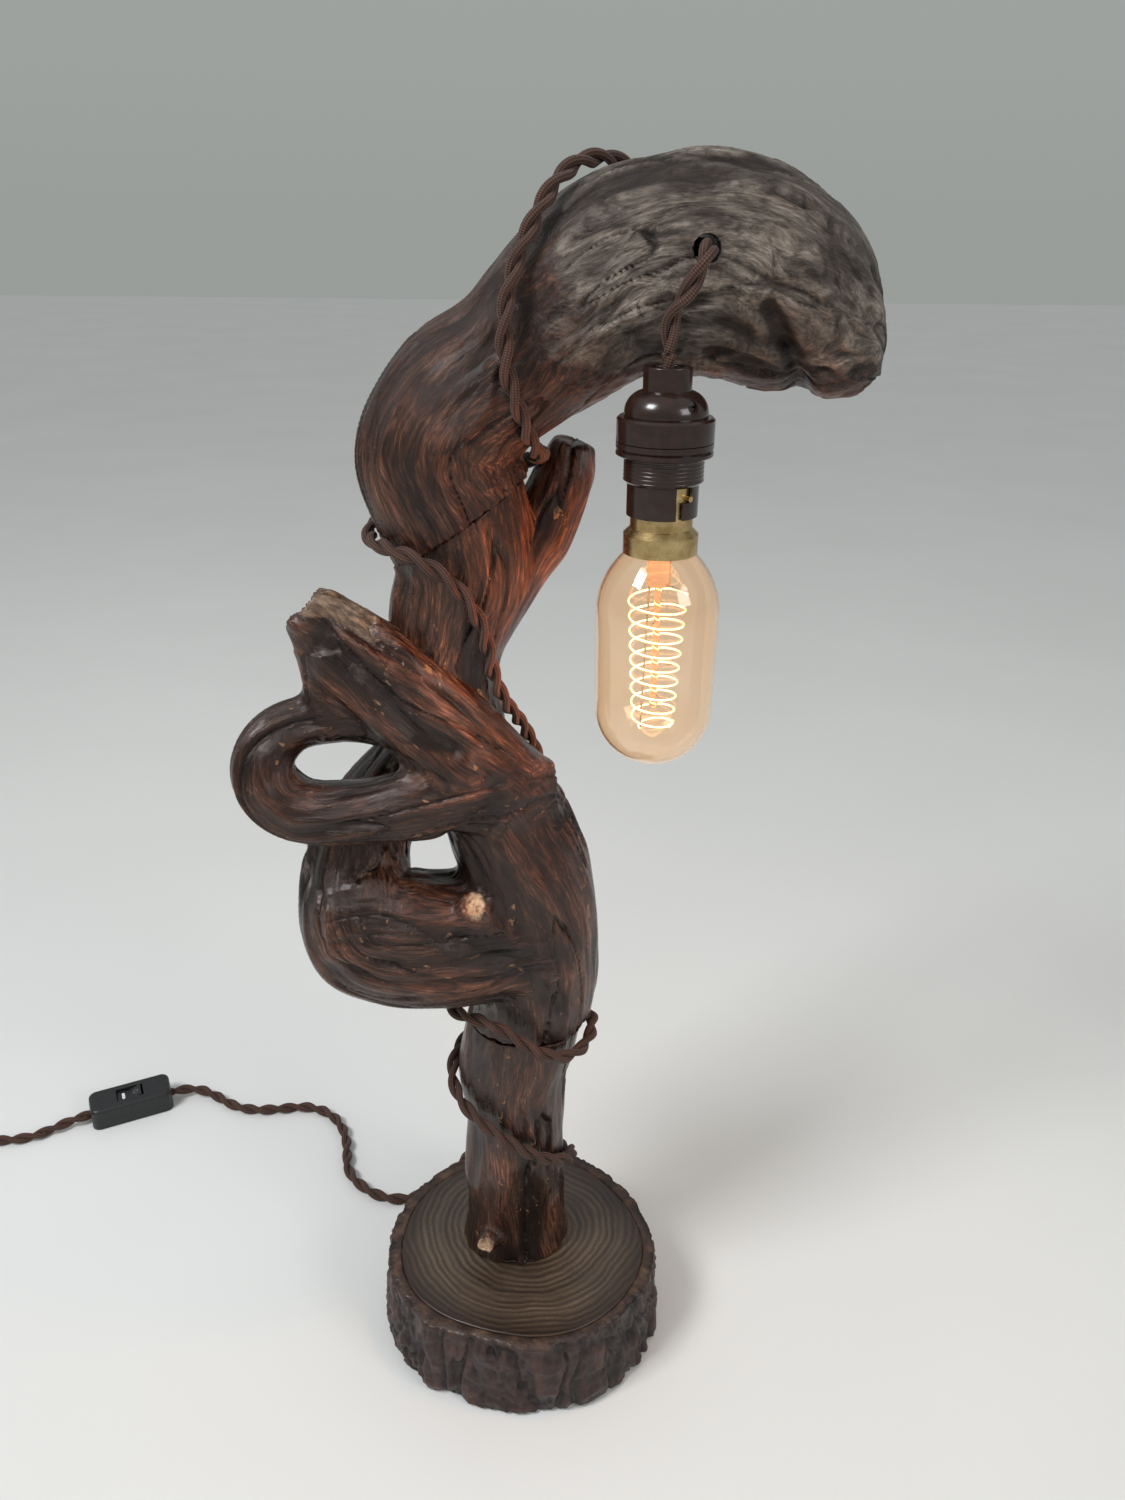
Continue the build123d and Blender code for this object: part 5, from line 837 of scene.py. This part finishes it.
def skin_of(ways, soften, seats, step):
    """Points and quads of the skin, by surface nets on a grid: a point in each cell that the skin passes through,
    at the mean of the crossings of the cell's edges, and a quad round each edge that it crosses."""
    centre = np.concatenate([way["centre"] for way in ways])
    room = np.concatenate([way["half"] for way in ways]).max(axis=1, keepdims=True) + 4
    low = (centre - room).min(axis=0)
    size = np.ceil(((centre + room).max(axis=0) - low) / (COARSE * step)).astype(int) + 1
    spots = low + np.indices(size).reshape(3, -1).T * (COARSE * step)
    field = wood_field(spots, ways, soften, seats).reshape(size)
    for axis in range(3):
        field = finer(field, axis)
    close = np.abs(field) < SKIN_BAND
    field[close] = wood_field(low + np.argwhere(close) * step, ways, soften, seats)
    inside = field < 0
    reach = np.array(field.shape) - 1
    held = sum(inside[a:a + reach[0], b:b + reach[1], c:c + reach[2]].astype(np.int8) for a, b, c in CORNERS)
    cell = np.argwhere((held > 0) & (held < 8))
    number = np.zeros(held.shape, np.int64)
    number[tuple(cell.T)] = np.arange(len(cell))
    value = np.stack([field[tuple((cell + corner).T)] for corner in CORNERS], axis=1)
    total, hits = np.zeros((len(cell), 3)), np.zeros((len(cell), 1))
    for first in range(8):
        for second in (first | 1, first | 2, first | 4):
            crossed = (value[:, first] < 0) != (value[:, second] < 0)
            part = value[:, first] / np.where(crossed, value[:, first] - value[:, second], 1)
            spot = CORNERS[first] + part[:, None] * (CORNERS[second] - CORNERS[first])
            total += crossed[:, None] * spot
            hits += crossed[:, None]
    points = low + (cell + total / hits) * step
    quads = []
    for axis in range(3):
        beside, above = np.roll(np.eye(3, dtype=int), -axis - 1, axis=0)[:2]
        lower = np.take(inside, np.arange(reach[axis]), axis=axis)
        upper = np.take(inside, np.arange(1, reach[axis] + 1), axis=axis)
        edge = np.argwhere(lower != upper)
        moves = (beside + above, above, 0 * above, beside)
        ring = np.stack([number[tuple((edge - move).T)] for move in moves], axis=1)
        out = lower[tuple(edge.T)]
        quads.append(np.where(out[:, None], ring, ring[:, ::-1]))
    return points, np.concatenate(quads)


def lattice_noise(spots):
    """Smooth noise from -1 to 1: a number for each whole lattice point, eased between by 3t^2 - 2t^3."""
    cell = np.floor(spots)
    part = spots - cell
    ease = part * part * (3 - 2 * part)
    cell = cell.astype(np.int64)
    total = np.zeros(len(spots))
    for pick in CORNERS:
        at = cell + pick
        mix = (at * HASH_STEPS).sum(axis=1) & HASH_MASK
        mix = ((mix ^ (mix >> 13)) * HASH_TURN) & HASH_MASK
        value = ((mix ^ (mix >> 16)) & 0xFFFF) / 32767.5 - 1
        total += value * np.prod(np.where(pick, ease, 1 - ease), axis=1)
    return total


def layered(spots, octaves):
    """Noise at doubling scales and halving heights, added."""
    return sum(lattice_noise(spots * 2 ** number + 17.3 * number) / 2 ** number for number in range(octaves))


def mesh_normals(mesh):
    """Normals of a mesh's points as rows."""
    rows = np.empty(len(mesh.vertices) * 3)
    mesh.vertex_normals.foreach_get("vector", rows)
    return rows.reshape(-1, 3)


def smoothstep(low, high, values):
    """0 at low, 1 at high, eased between."""
    t = np.clip((values - low) / (high - low), 0, 1)
    return t * t * (3 - 2 * t)


def grain_rows(found, number, twist):
    """Grain coordinates: x and y round the limb, z along it, turning slowly with the twist of the growth."""
    reach, turn, size = found.T
    turn = turn + twist * reach / size
    return np.stack([size * np.cos(turn) + 61 * number, size * np.sin(turn) + 37 * number, reach], axis=1)


def carving(grain):
    """Relief along the grain: broad flutes, folds |n| with sharp creases, fine ridges and narrow cracks."""
    flutes = layered(grain * (0.045, 0.045, 0.010), 2)
    folds = 1 - 2.4 * np.abs(layered(grain * (0.10, 0.10, 0.013) + 5, 2))
    ridges = layered(grain * (0.26, 0.26, 0.028) + 9, 2)
    crack = np.abs(layered(grain * (0.07, 0.07, 0.009) + 31, 3))
    return 0.9 * flutes + 0.85 * folds + 0.6 * ridges - 1.8 * smoothstep(0.08, 0.0, crack)


def flaking(grain):
    """Relief of weathered wood: torn layers, each with a step at its edge, long pits and ridges."""
    layer = 3 * layered(grain * (0.075, 0.075, 0.026) + 3, 3)
    torn = np.floor(layer) + smoothstep(0.6, 1.0, layer - np.floor(layer))
    pits = np.maximum(layered(grain * (0.17, 0.17, 0.05) + 21, 2) - 0.40, 0)
    ridges = layered(grain * (0.27, 0.27, 0.04) + 9, 2)
    crack = np.abs(layered(grain * (0.06, 0.06, 0.011) + 47, 3))
    return 0.55 * torn + 0.30 * ridges - 3.6 * pits - 1.6 * smoothstep(0.06, 0.0, crack)


def from_line(spots, line):
    """Distance of points from a line of straight stretches."""
    line = np.array(line, float)
    nearest = np.full(len(spots), np.inf)
    for first, second in zip(line[:-1], line[1:]):
        way = second - first
        along = np.clip((spots - first) @ way / (way @ way), 0, 1)
        nearest = np.minimum(nearest, np.linalg.norm(spots - first - along[:, None] * way, axis=1))
    return nearest


def wooden(name, ways, material, step, soften, seats, twist, marks=(), flaky=None, cuts=(), weathered=None, bores=()):
    """A wooden piece: the skin of its joined limbs, carved along the grain of each limb, less under the flex.

    Where limbs meet, their carvings mix by e^(-(d - d0) / 2), with d0 the nearest limb's distance, and their grain
    changes over on a ragged line. The marks add h e^(-(d / b)^2). The cuts are sawn knots: middle, facing, radius
    and narrowing. The bores are holes: line and radius."""
    points, quads = skin_of(ways, soften, seats, step)
    piece = new_piece(name, points, quads.tolist(), material)
    mesh = piece.data
    normal = mesh_normals(mesh)
    spots = points - normal * np.clip(wood_field(points, ways, soften, seats), -0.5, 0.5)[:, None]
    found = [limb_field(spots, way) for way in ways]
    distance = np.stack([part[0] for part in found])
    weight = np.exp(-(distance - distance.min(axis=0)) / MIX_REACH)
    grain, relief = np.zeros((len(spots), 3)), np.zeros(len(spots))
    ragged = [
        4 * layered(spots * 0.11 + 7 * number, 2) + FILLER_BACK * way["filler"] for number, way in enumerate(ways)
    ]
    nearest = (distance + ragged).argmin(axis=0)
    share = flaky(spots) if flaky is not None else np.zeros(len(spots))
    for number, (_, place) in enumerate(found):
        rows = grain_rows(place, number, twist)
        grain[nearest == number] = rows[nearest == number]
        touched = weight[number] > LEAST_SHARE
        torn = share[touched]
        carved = carving(rows[touched]) * (1 - torn) + flaking(rows[touched]) * torn
        relief[touched] += carved * weight[number, touched]
    relief /= (weight * (weight > LEAST_SHARE)).sum(axis=0)
    relief += 1.1 * layered(spots * 0.03 + 2, 2)
    for line, height, breadth in marks:
        relief += height * np.exp(-(from_line(spots, line) / breadth) ** 2)
    pale = np.zeros(len(spots))
    for middle, facing, radius, narrow in cuts:
        facing = np.array(facing)
        level = (spots - middle) @ facing
        out = np.linalg.norm((spots - middle - level[:, None] * facing) * (narrow, 1, 1), axis=1)
        out = out + 0.9 * layered(spots * 0.35, 2)
        inside = smoothstep(radius, radius * 0.8, out) * (np.abs(level) < radius)
        pale = np.maximum(pale, inside)
        relief *= 1 - 0.85 * inside
    room = np.concatenate([
        np.sqrt(((part[:, None] - stem_rest[None]) ** 2).sum(axis=2).min(axis=1))
        for part in np.array_split(spots, len(spots) // ROOM_ROWS + 1)
    ])
    relief = np.minimum(relief, room - FLEX / 2)
    spots = spots + normal * relief[:, None]
    for seat in seats:
        spots = spots - np.maximum(sawn(spots, seat), 0)[:, None] * seat[1]
    mesh.vertices.foreach_set("co", (spots * MM).ravel())
    keep(mesh, "grain", grain)
    # The relief kept here darkens the hollows and the groove under the flex and lightens the ridges in the wood
    # finishes, as painted shade and light.
    keep(mesh, "relief", np.clip(0.5 + relief / RELIEF_SPAN, 0, 1))
    keep(mesh, "cut", pale)
    keep(mesh, "weathered", weathered(spots) if weathered is not None else np.zeros(len(spots)))
    mesh.update()
    for line, radius in bores:
        points, corners = tube(np.array(line) * MM, radius * MM, BORE_SIDES)
        drill = new_piece(name + "_drill", points, corners, None)
        cut = piece.modifiers.new("bore", "BOOLEAN")
        cut.operation = "DIFFERENCE"
        cut.solver = "EXACT"
        cut.object = drill
        bored = bpy.data.meshes.new_from_object(piece.evaluated_get(bpy.context.evaluated_depsgraph_get()))
        piece.modifiers.clear()
        piece.data = bored
        bpy.data.objects.remove(drill)
    return piece


EVERYWHERE = 1000.0
HEAD_BORE = [(64, 60, 523.7), (64, 20, 523.7), (64, -20, 523.7), (64, -60, 523.7)]
HEAD_BORE_RADIUS = 4.5
REST_STEP = 2.0
stem_rest = even_steps(stem_line / MM, REST_STEP)[0]
scarf_seat = np.array([-22.0, 6.0, SCARF_MIDDLE])
foot = wooden(
    "foot_wood", [limb(FOOT_LIMB, BASE_TOP, UPRIGHT, UPRIGHT), limb(FOOT_TWIG, BASE_TOP)], varnish,
    step=0.9, soften=4.0, twist=0.08, marks=FOOT_MARKS,
    seats=[((0, 0, BASE_TOP), -UPRIGHT, EVERYWHERE), ((0, 0, FOOT_TOP), UPRIGHT, EVERYWHERE)],
    cuts=[((-17.5, -17.5, 61), (-0.36, -0.9, 0.24), 4.6, 1.0)],
)
knot = wooden(
    "knot_wood",
    [limb(TRUNK_LIMB, FOOT_TOP, UPRIGHT, UPRIGHT), limb(CURL_LIMB, FOOT_TOP), limb(BEAK_LIMB, FOOT_TOP),
     limb(CHEEK_LIMB, FOOT_TOP, filler=True), limb(LOOP_LIMB, FOOT_TOP), limb(BELLY_LIMB, FOOT_TOP, filler=True),
     limb(CURL_TWIG, FOOT_TOP)],
    varnish, step=1.0, soften=7.0, twist=0.10, marks=KNOT_MARKS, seats=[((0, 0, FOOT_TOP), -UPRIGHT, EVERYWHERE)],
    cuts=[((-18, -20.5, 265.5), (0.0, -0.62, 0.78), 6.0, 1.45)],
    weathered=lambda spots: smoothstep(-9, -2, spots[:, 2] - np.interp(spots[:, 0], BEAK_TOP_X, BEAK_TOP_Z))
    * smoothstep(-40, -66, spots[:, 0]),
)
upper = wooden(
    "upper_wood", [limb(UPPER_LIMB, KNOT_TOP, UPRIGHT, SCARF), limb(BRANCH_LIMB, KNOT_TOP, dome=3.0)], varnish,
    step=0.8, soften=6.0, twist=0.05, marks=UPPER_MARKS,
    seats=[((0, 0, KNOT_TOP), -UPRIGHT, EVERYWHERE), (scarf_seat, SCARF, UPPER_SCARF_REACH)],
)
arch = wooden(
    "arch_wood", [limb(ARCH_LIMB, SCARF_MIDDLE, SCARF, dome=2.0)], weather,
    step=0.9, soften=6.0, twist=0.06, marks=ARCH_MARKS, seats=[(scarf_seat, -SCARF, ARCH_SCARF_REACH)],
    flaky=lambda spots: smoothstep(-5, 35, spots[:, 0]),
    weathered=lambda spots: smoothstep(-5, 38, spots[:, 0]) * smoothstep(478, 492, spots[:, 2]),
    bores=[(HEAD_BORE, HEAD_BORE_RADIUS)],
)

# Log slice and its bark
SLICE_WIDTH, SLICE_DEPTH, SLICE_LOBE = 124.0, 117.0, 0.018
SLICE_SIDES, SLICE_RINGS = 256, 70
BARK_SIDES, BARK_ROWS, BARK_THICKNESS, BARK_FLARE = 512, 60, 6.2, 2.5
FELT_TOP = 2.0


def slice_edge(turn):
    """The log's outline: an ellipse with low waves, two, three and five to the turn."""
    lobe = 1 + SLICE_LOBE * (np.cos(2 * turn + 0.7) + np.cos(3 * turn + 2.1) + 0.6 * np.cos(5 * turn))
    return SLICE_WIDTH / 2 * lobe, SLICE_DEPTH / 2 * lobe


def log_slice():
    """A disc: a profile from the middle of its top to its rim and back under it, carried round the outline."""
    share = np.concatenate([np.linspace(0.004, 0.985, SLICE_RINGS), [0.996, 1.0, 1.0, 1.0, 0.99, 0.6, 0.2]])
    rim = [BASE_TOP - 0.15, BASE_TOP - 0.7, 24.0, FELT_TOP + 0.4, FELT_TOP, FELT_TOP, FELT_TOP]
    height = np.concatenate([np.full(SLICE_RINGS, BASE_TOP), rim])
    turn = 2 * pi * np.arange(SLICE_SIDES) / SLICE_SIDES
    wide, deep = slice_edge(turn)
    x = share[:, None] * wide[None] * np.cos(turn)[None]
    y = share[:, None] * deep[None] * np.sin(turn)[None]
    z = np.repeat(height[:, None], SLICE_SIDES, axis=1)
    waver = layered(np.stack([x.ravel(), y.ravel(), 0 * x.ravel()], axis=1) / 16, 2).reshape(x.shape)
    wave = 0.10 * np.sin(share[:, None] * 115 + 2 * waver)
    top = (height > BASE_TOP - 0.01)[:, None]
    z = z + np.where(top, wave - 0.12, 0)
    verts = np.stack([x, y, z], axis=-1).reshape(-1, 3)
    faces = [face[::-1] for face in grid_faces(len(share), SLICE_SIDES)]
    last = len(verts) - 1
    faces += [list(range(SLICE_SIDES)), list(range(last, last - SLICE_SIDES, -1))]
    piece = new_piece("slice_wood", verts * MM, faces, rings)
    keep(piece.data, "rim", np.repeat(np.where(height > BASE_TOP - 1, share, 1.0), SLICE_SIDES))
    return piece


def bark_ring():
    """Bark: a profile from its inner top edge, over the rim, down the outside and back under, carried round the log.

    Outside, plates stand out between fissures: noise long in height and short round the log, folded to |n|."""
    turn = 2 * pi * np.arange(BARK_SIDES) / BARK_SIDES
    wide, deep = slice_edge(turn)
    wall = np.linspace(BASE_TOP - 0.3, FELT_TOP + 0.2, BARK_ROWS)
    height = np.concatenate([[BASE_TOP - 0.6, BASE_TOP - 0.1], wall, [FELT_TOP, FELT_TOP]])
    grow = np.concatenate([[0.06, 1.4], np.full(BARK_ROWS, BARK_THICKNESS), [4.0, 0.06]])
    flare = BARK_FLARE * smoothstep(BASE_TOP, FELT_TOP, height)
    outer = np.concatenate([[0, 0.1], np.ones(BARK_ROWS), [0.3, 0]])
    outer[2:5] = (0.45, 0.8, 0.95)
    angle, level = np.meshgrid(turn, height)
    radius = SLICE_WIDTH / 2
    spots = np.stack([(radius * np.cos(angle)).ravel(), (radius * np.sin(angle)).ravel(), level.ravel()], axis=1)
    warp = 3.0 * lattice_noise(spots * (0.05, 0.05, 0.06) + 4)
    plates = layered((spots + warp[:, None]) * (0.13, 0.13, 0.035), 3).reshape(angle.shape)
    crossing = layered(spots * (0.06, 0.06, 0.13) + 8, 2).reshape(angle.shape)
    ridge = np.minimum(np.abs(plates) * 2.6, 1.0) ** 0.8 * (0.75 + 0.35 * crossing)
    bulge = 2.5 * np.exp(-((np.mod(angle - 4.02 + pi, 2 * pi) - pi) / 0.10) ** 2)
    scales = layered((spots + warp[:, None]) * (0.42, 0.42, 0.24) + 13, 2).reshape(angle.shape)
    relief = -1.9 + 3.4 * ridge + bulge + 0.75 * scales
    out = grow[:, None] + outer[:, None] * (flare[:, None] + relief)
    x = (wide[None] + out) * np.cos(angle)
    y = (deep[None] + out) * np.sin(angle)
    verts = np.stack([x, y, level], axis=-1).reshape(-1, 3)
    faces = [face[::-1] for face in grid_faces(len(height), BARK_SIDES, closed_rows=True)]
    piece = new_piece("bark_ring", verts * MM, faces, bark)
    keep(piece.data, "relief", np.clip(ridge + 0.45 * scales, 0, 1).ravel())
    keep(piece.data, "cut", np.repeat(np.concatenate([[1, 0.9, 0.35, 0.1], np.zeros(len(height) - 4)]), BARK_SIDES))
    return piece


for piece, node, finish in (
    (foot, "foot_stem", "dark_wood"), (knot, "knot_stem", "dark_wood"), (upper, "upper_stem", "dark_wood"),
    (arch, "arch_head", "grey_wood"), (log_slice(), "base_slice", "slice_wood"), (bark_ring(), "base_bark", "bark"),
):
    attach(piece, "stand")
    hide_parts(node)

# Thread and springs of the lampholder, and the marks on the rocker
HOLDER_AXIS = (52.5, -37.0)
THREAD_SIDES = 96
ROCKER_MIDDLE = np.array([-261.0, 142.0, 11.8])
ROCKER_TILT, SWITCH_BEARING = radians(9.0), radians(25.0)
ROCKER_WAIST, ROCKER_RISE, ROCKER_HALF = 1.4, 1.2, 7.4
MARK_SIDES = 64
SPRING_RADIUS, SPRING_TURNS, SPRING_LOW, SPRING_PITCH = 1.85, 5, 461.35, 1.36
SPRING_WIRE, WIRE_SIDES, SPRING_STEPS = 0.25, 8, 161
PLUNGER_OUT, PLUNGER_BEARING = 4.2, radians(42.0)


def turned_thread(name, material, radius, depth, low, high, pitch):
    """A screw thread: radius less depth |2u - 1|, where u is the share of a turn at each height and angle."""
    turn = 2 * pi * np.arange(THREAD_SIDES) / THREAD_SIDES
    level = np.linspace(low, high, int((high - low) / pitch * 10))
    angle, height = np.meshgrid(turn, level)
    share = np.mod(height / pitch - angle / (2 * pi), 1.0)
    fade = smoothstep(low, low + 0.6, height) * smoothstep(high, high - 0.6, height)
    out = radius - depth * np.abs(2 * share - 1) * fade
    inner = np.full((1, THREAD_SIDES), radius - 1.5)
    out = np.concatenate([inner, out, inner])
    angle, height = (np.concatenate([part[:1], part, part[-1:]]) for part in (angle, height))
    verts = np.stack([HOLDER_AXIS[0] + out * np.cos(angle), HOLDER_AXIS[1] + out * np.sin(angle), height], -1)
    faces = grid_faces(len(height), THREAD_SIDES, closed_rows=True)
    return new_piece(name, verts.reshape(-1, 3) * MM, faces, material)


def on_rocker(along, across, lift):
    """Points on the rocker's two sloping faces, raised from them: waist + rise |along| / half, and the lift."""
    level = np.array([cos(SWITCH_BEARING), sin(SWITCH_BEARING), 0.0])
    slope = level * cos(ROCKER_TILT) + UPRIGHT * sin(ROCKER_TILT)
    above = UPRIGHT * cos(ROCKER_TILT) - level * sin(ROCKER_TILT)
    beside = np.array([-sin(SWITCH_BEARING), cos(SWITCH_BEARING), 0.0])
    height = ROCKER_WAIST + ROCKER_RISE * np.abs(along) / ROCKER_HALF + lift
    spots = along[..., None] * slope + height[..., None] * above + across[..., None] * beside
    return (ROCKER_MIDDLE + spots).reshape(-1, 3) * MM


def inlaid(name, material, place, half, breadth):
    """A printed line in a closed loop with round ends: its half width and half length, with a flat raised section."""
    turn = np.arange(MARK_SIDES) * 2 * pi / MARK_SIDES
    straight = np.sign(np.sin(turn)) * max(half[1] - half[0], 0.0)
    inner, outer = half[0] - breadth, half[0]
    out = np.array([inner, inner, outer, outer])[None]
    lift = np.tile([-0.2, 0.09, 0.09, -0.2], (MARK_SIDES, 1))
    along = place + out * np.cos(turn)[:, None]
    across = straight[:, None] + out * np.sin(turn)[:, None]
    return new_piece(name, on_rocker(along, across, lift), grid_faces(MARK_SIDES, 4, closed_rows=True), material)


def plunger_coils():
    """The two springs over the plungers: each middle line is a helix of five turns in 6.8 mm, 1.85 mm from its axis."""
    turn = np.linspace(0, SPRING_TURNS, SPRING_STEPS)
    across, beside = SPRING_RADIUS * np.cos(2 * pi * turn), SPRING_RADIUS * np.sin(2 * pi * turn)
    helix = np.stack([across, beside, SPRING_LOW + SPRING_PITCH * turn], axis=1)
    verts, faces = [], []
    for out in (-PLUNGER_OUT, PLUNGER_OUT):
        middle = (HOLDER_AXIS[0] + out * cos(PLUNGER_BEARING), HOLDER_AXIS[1] + out * sin(PLUNGER_BEARING), 0.0)
        first = len(verts) * len(turn) * WIRE_SIDES
        points, corners = tube((helix + middle) * MM, SPRING_WIRE * MM, WIRE_SIDES, start=first)
        verts.append(points)
        faces += corners
    return new_piece("plunger_coils", np.concatenate(verts), faces, steel)


coils = plunger_coils()
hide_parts("plunger_springs")
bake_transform(coils)
thread = turned_thread("holder_thread", bakelite, radius=13.98, depth=0.55, low=450.9, high=458.6, pitch=1.35)
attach(thread, "pendant")
on_bar = inlaid("on_bar", white_mark, place=-3.7, half=(0.9, 2.9), breadth=0.88)
off_ring = inlaid("off_ring", grey_mark, place=3.9, half=(1.7, 1.7), breadth=0.45)
for piece in (on_bar, off_ring):
    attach(piece, "rocker")

# Studio: pale floor, plain backdrop colour, soft lamps
floor_finish, floor_tree, floor_shader = finish_of("pale_floor")
floor_cloud = noise(floor_tree, own_place(floor_tree), 3.0, 3.0)
floor_tone = ramp(floor_tree, floor_cloud, (0.3, (0.72, 0.715, 0.70)), (0.7, (0.75, 0.745, 0.73)))
settle(floor_tree, floor_shader, Base_Color=floor_tone, Roughness=0.8)
floor_corners = [(-6, -6, 0), (6, -6, 0), (6, 9, 0), (-6, 9, 0)]
floor = new_piece("studio_floor", floor_corners, [(0, 1, 2, 3)], floor_finish, smooth=False)

world = bpy.data.worlds.new("studio")
scene.world = world
world.use_nodes = True
sky = world.node_tree
height = put(sky, "SeparateXYZ", Vector=put(sky, "TexCoord").outputs["Generated"]).outputs["Z"]
tone = ramp(sky, height, (0.0, (0.32, 0.34, 0.325)), (0.25, (0.36, 0.38, 0.37)), (0.7, (0.50, 0.52, 0.52)))
sky.links.new(tone, sky.nodes["Background"].inputs["Color"])


def lamp_at(name, kind, place, power, colour):
    """A lamp in the scene: its light and its holder."""
    lamp = bpy.data.lights.new(name, kind)
    lamp.energy = power
    lamp.color = colour
    holder = bpy.data.objects.new(name, lamp)
    holder.location = place
    scene.collection.objects.link(holder)
    return lamp, holder


LAMP_TARGET = np.array([0.0, 0.0, 0.3])
for name, place, size, power, colour in (
    ("key_lamp", (-0.9, -0.6, 1.5), 0.5, 19.0, (0.96, 0.98, 1.0)),
    ("fill_lamp", (1.1, -0.9, 1.0), 0.6, 7.0, (1.0, 1.0, 1.0)),
):
    lamp, holder = lamp_at(name, "AREA", place, power, colour)
    lamp.size = size
    way = unit(np.array(place) - LAMP_TARGET)
    holder.rotation_euler = (np.arccos(way[2]), 0.0, np.arctan2(way[1], way[0]) + pi / 2)

# The bulb's own light
lamp, holder = lamp_at("bulb_light", "POINT", (0.0525, -0.037, 0.383), 0.42, (1.0, 0.42, 0.12))
lamp.shadow_soft_size = 0.012
holder.visible_camera = holder.visible_glossy = holder.visible_transmission = False
for name in ("bulb_glass", "bulb_stem", "filament"):
    nodes[name].visible_shadow = False
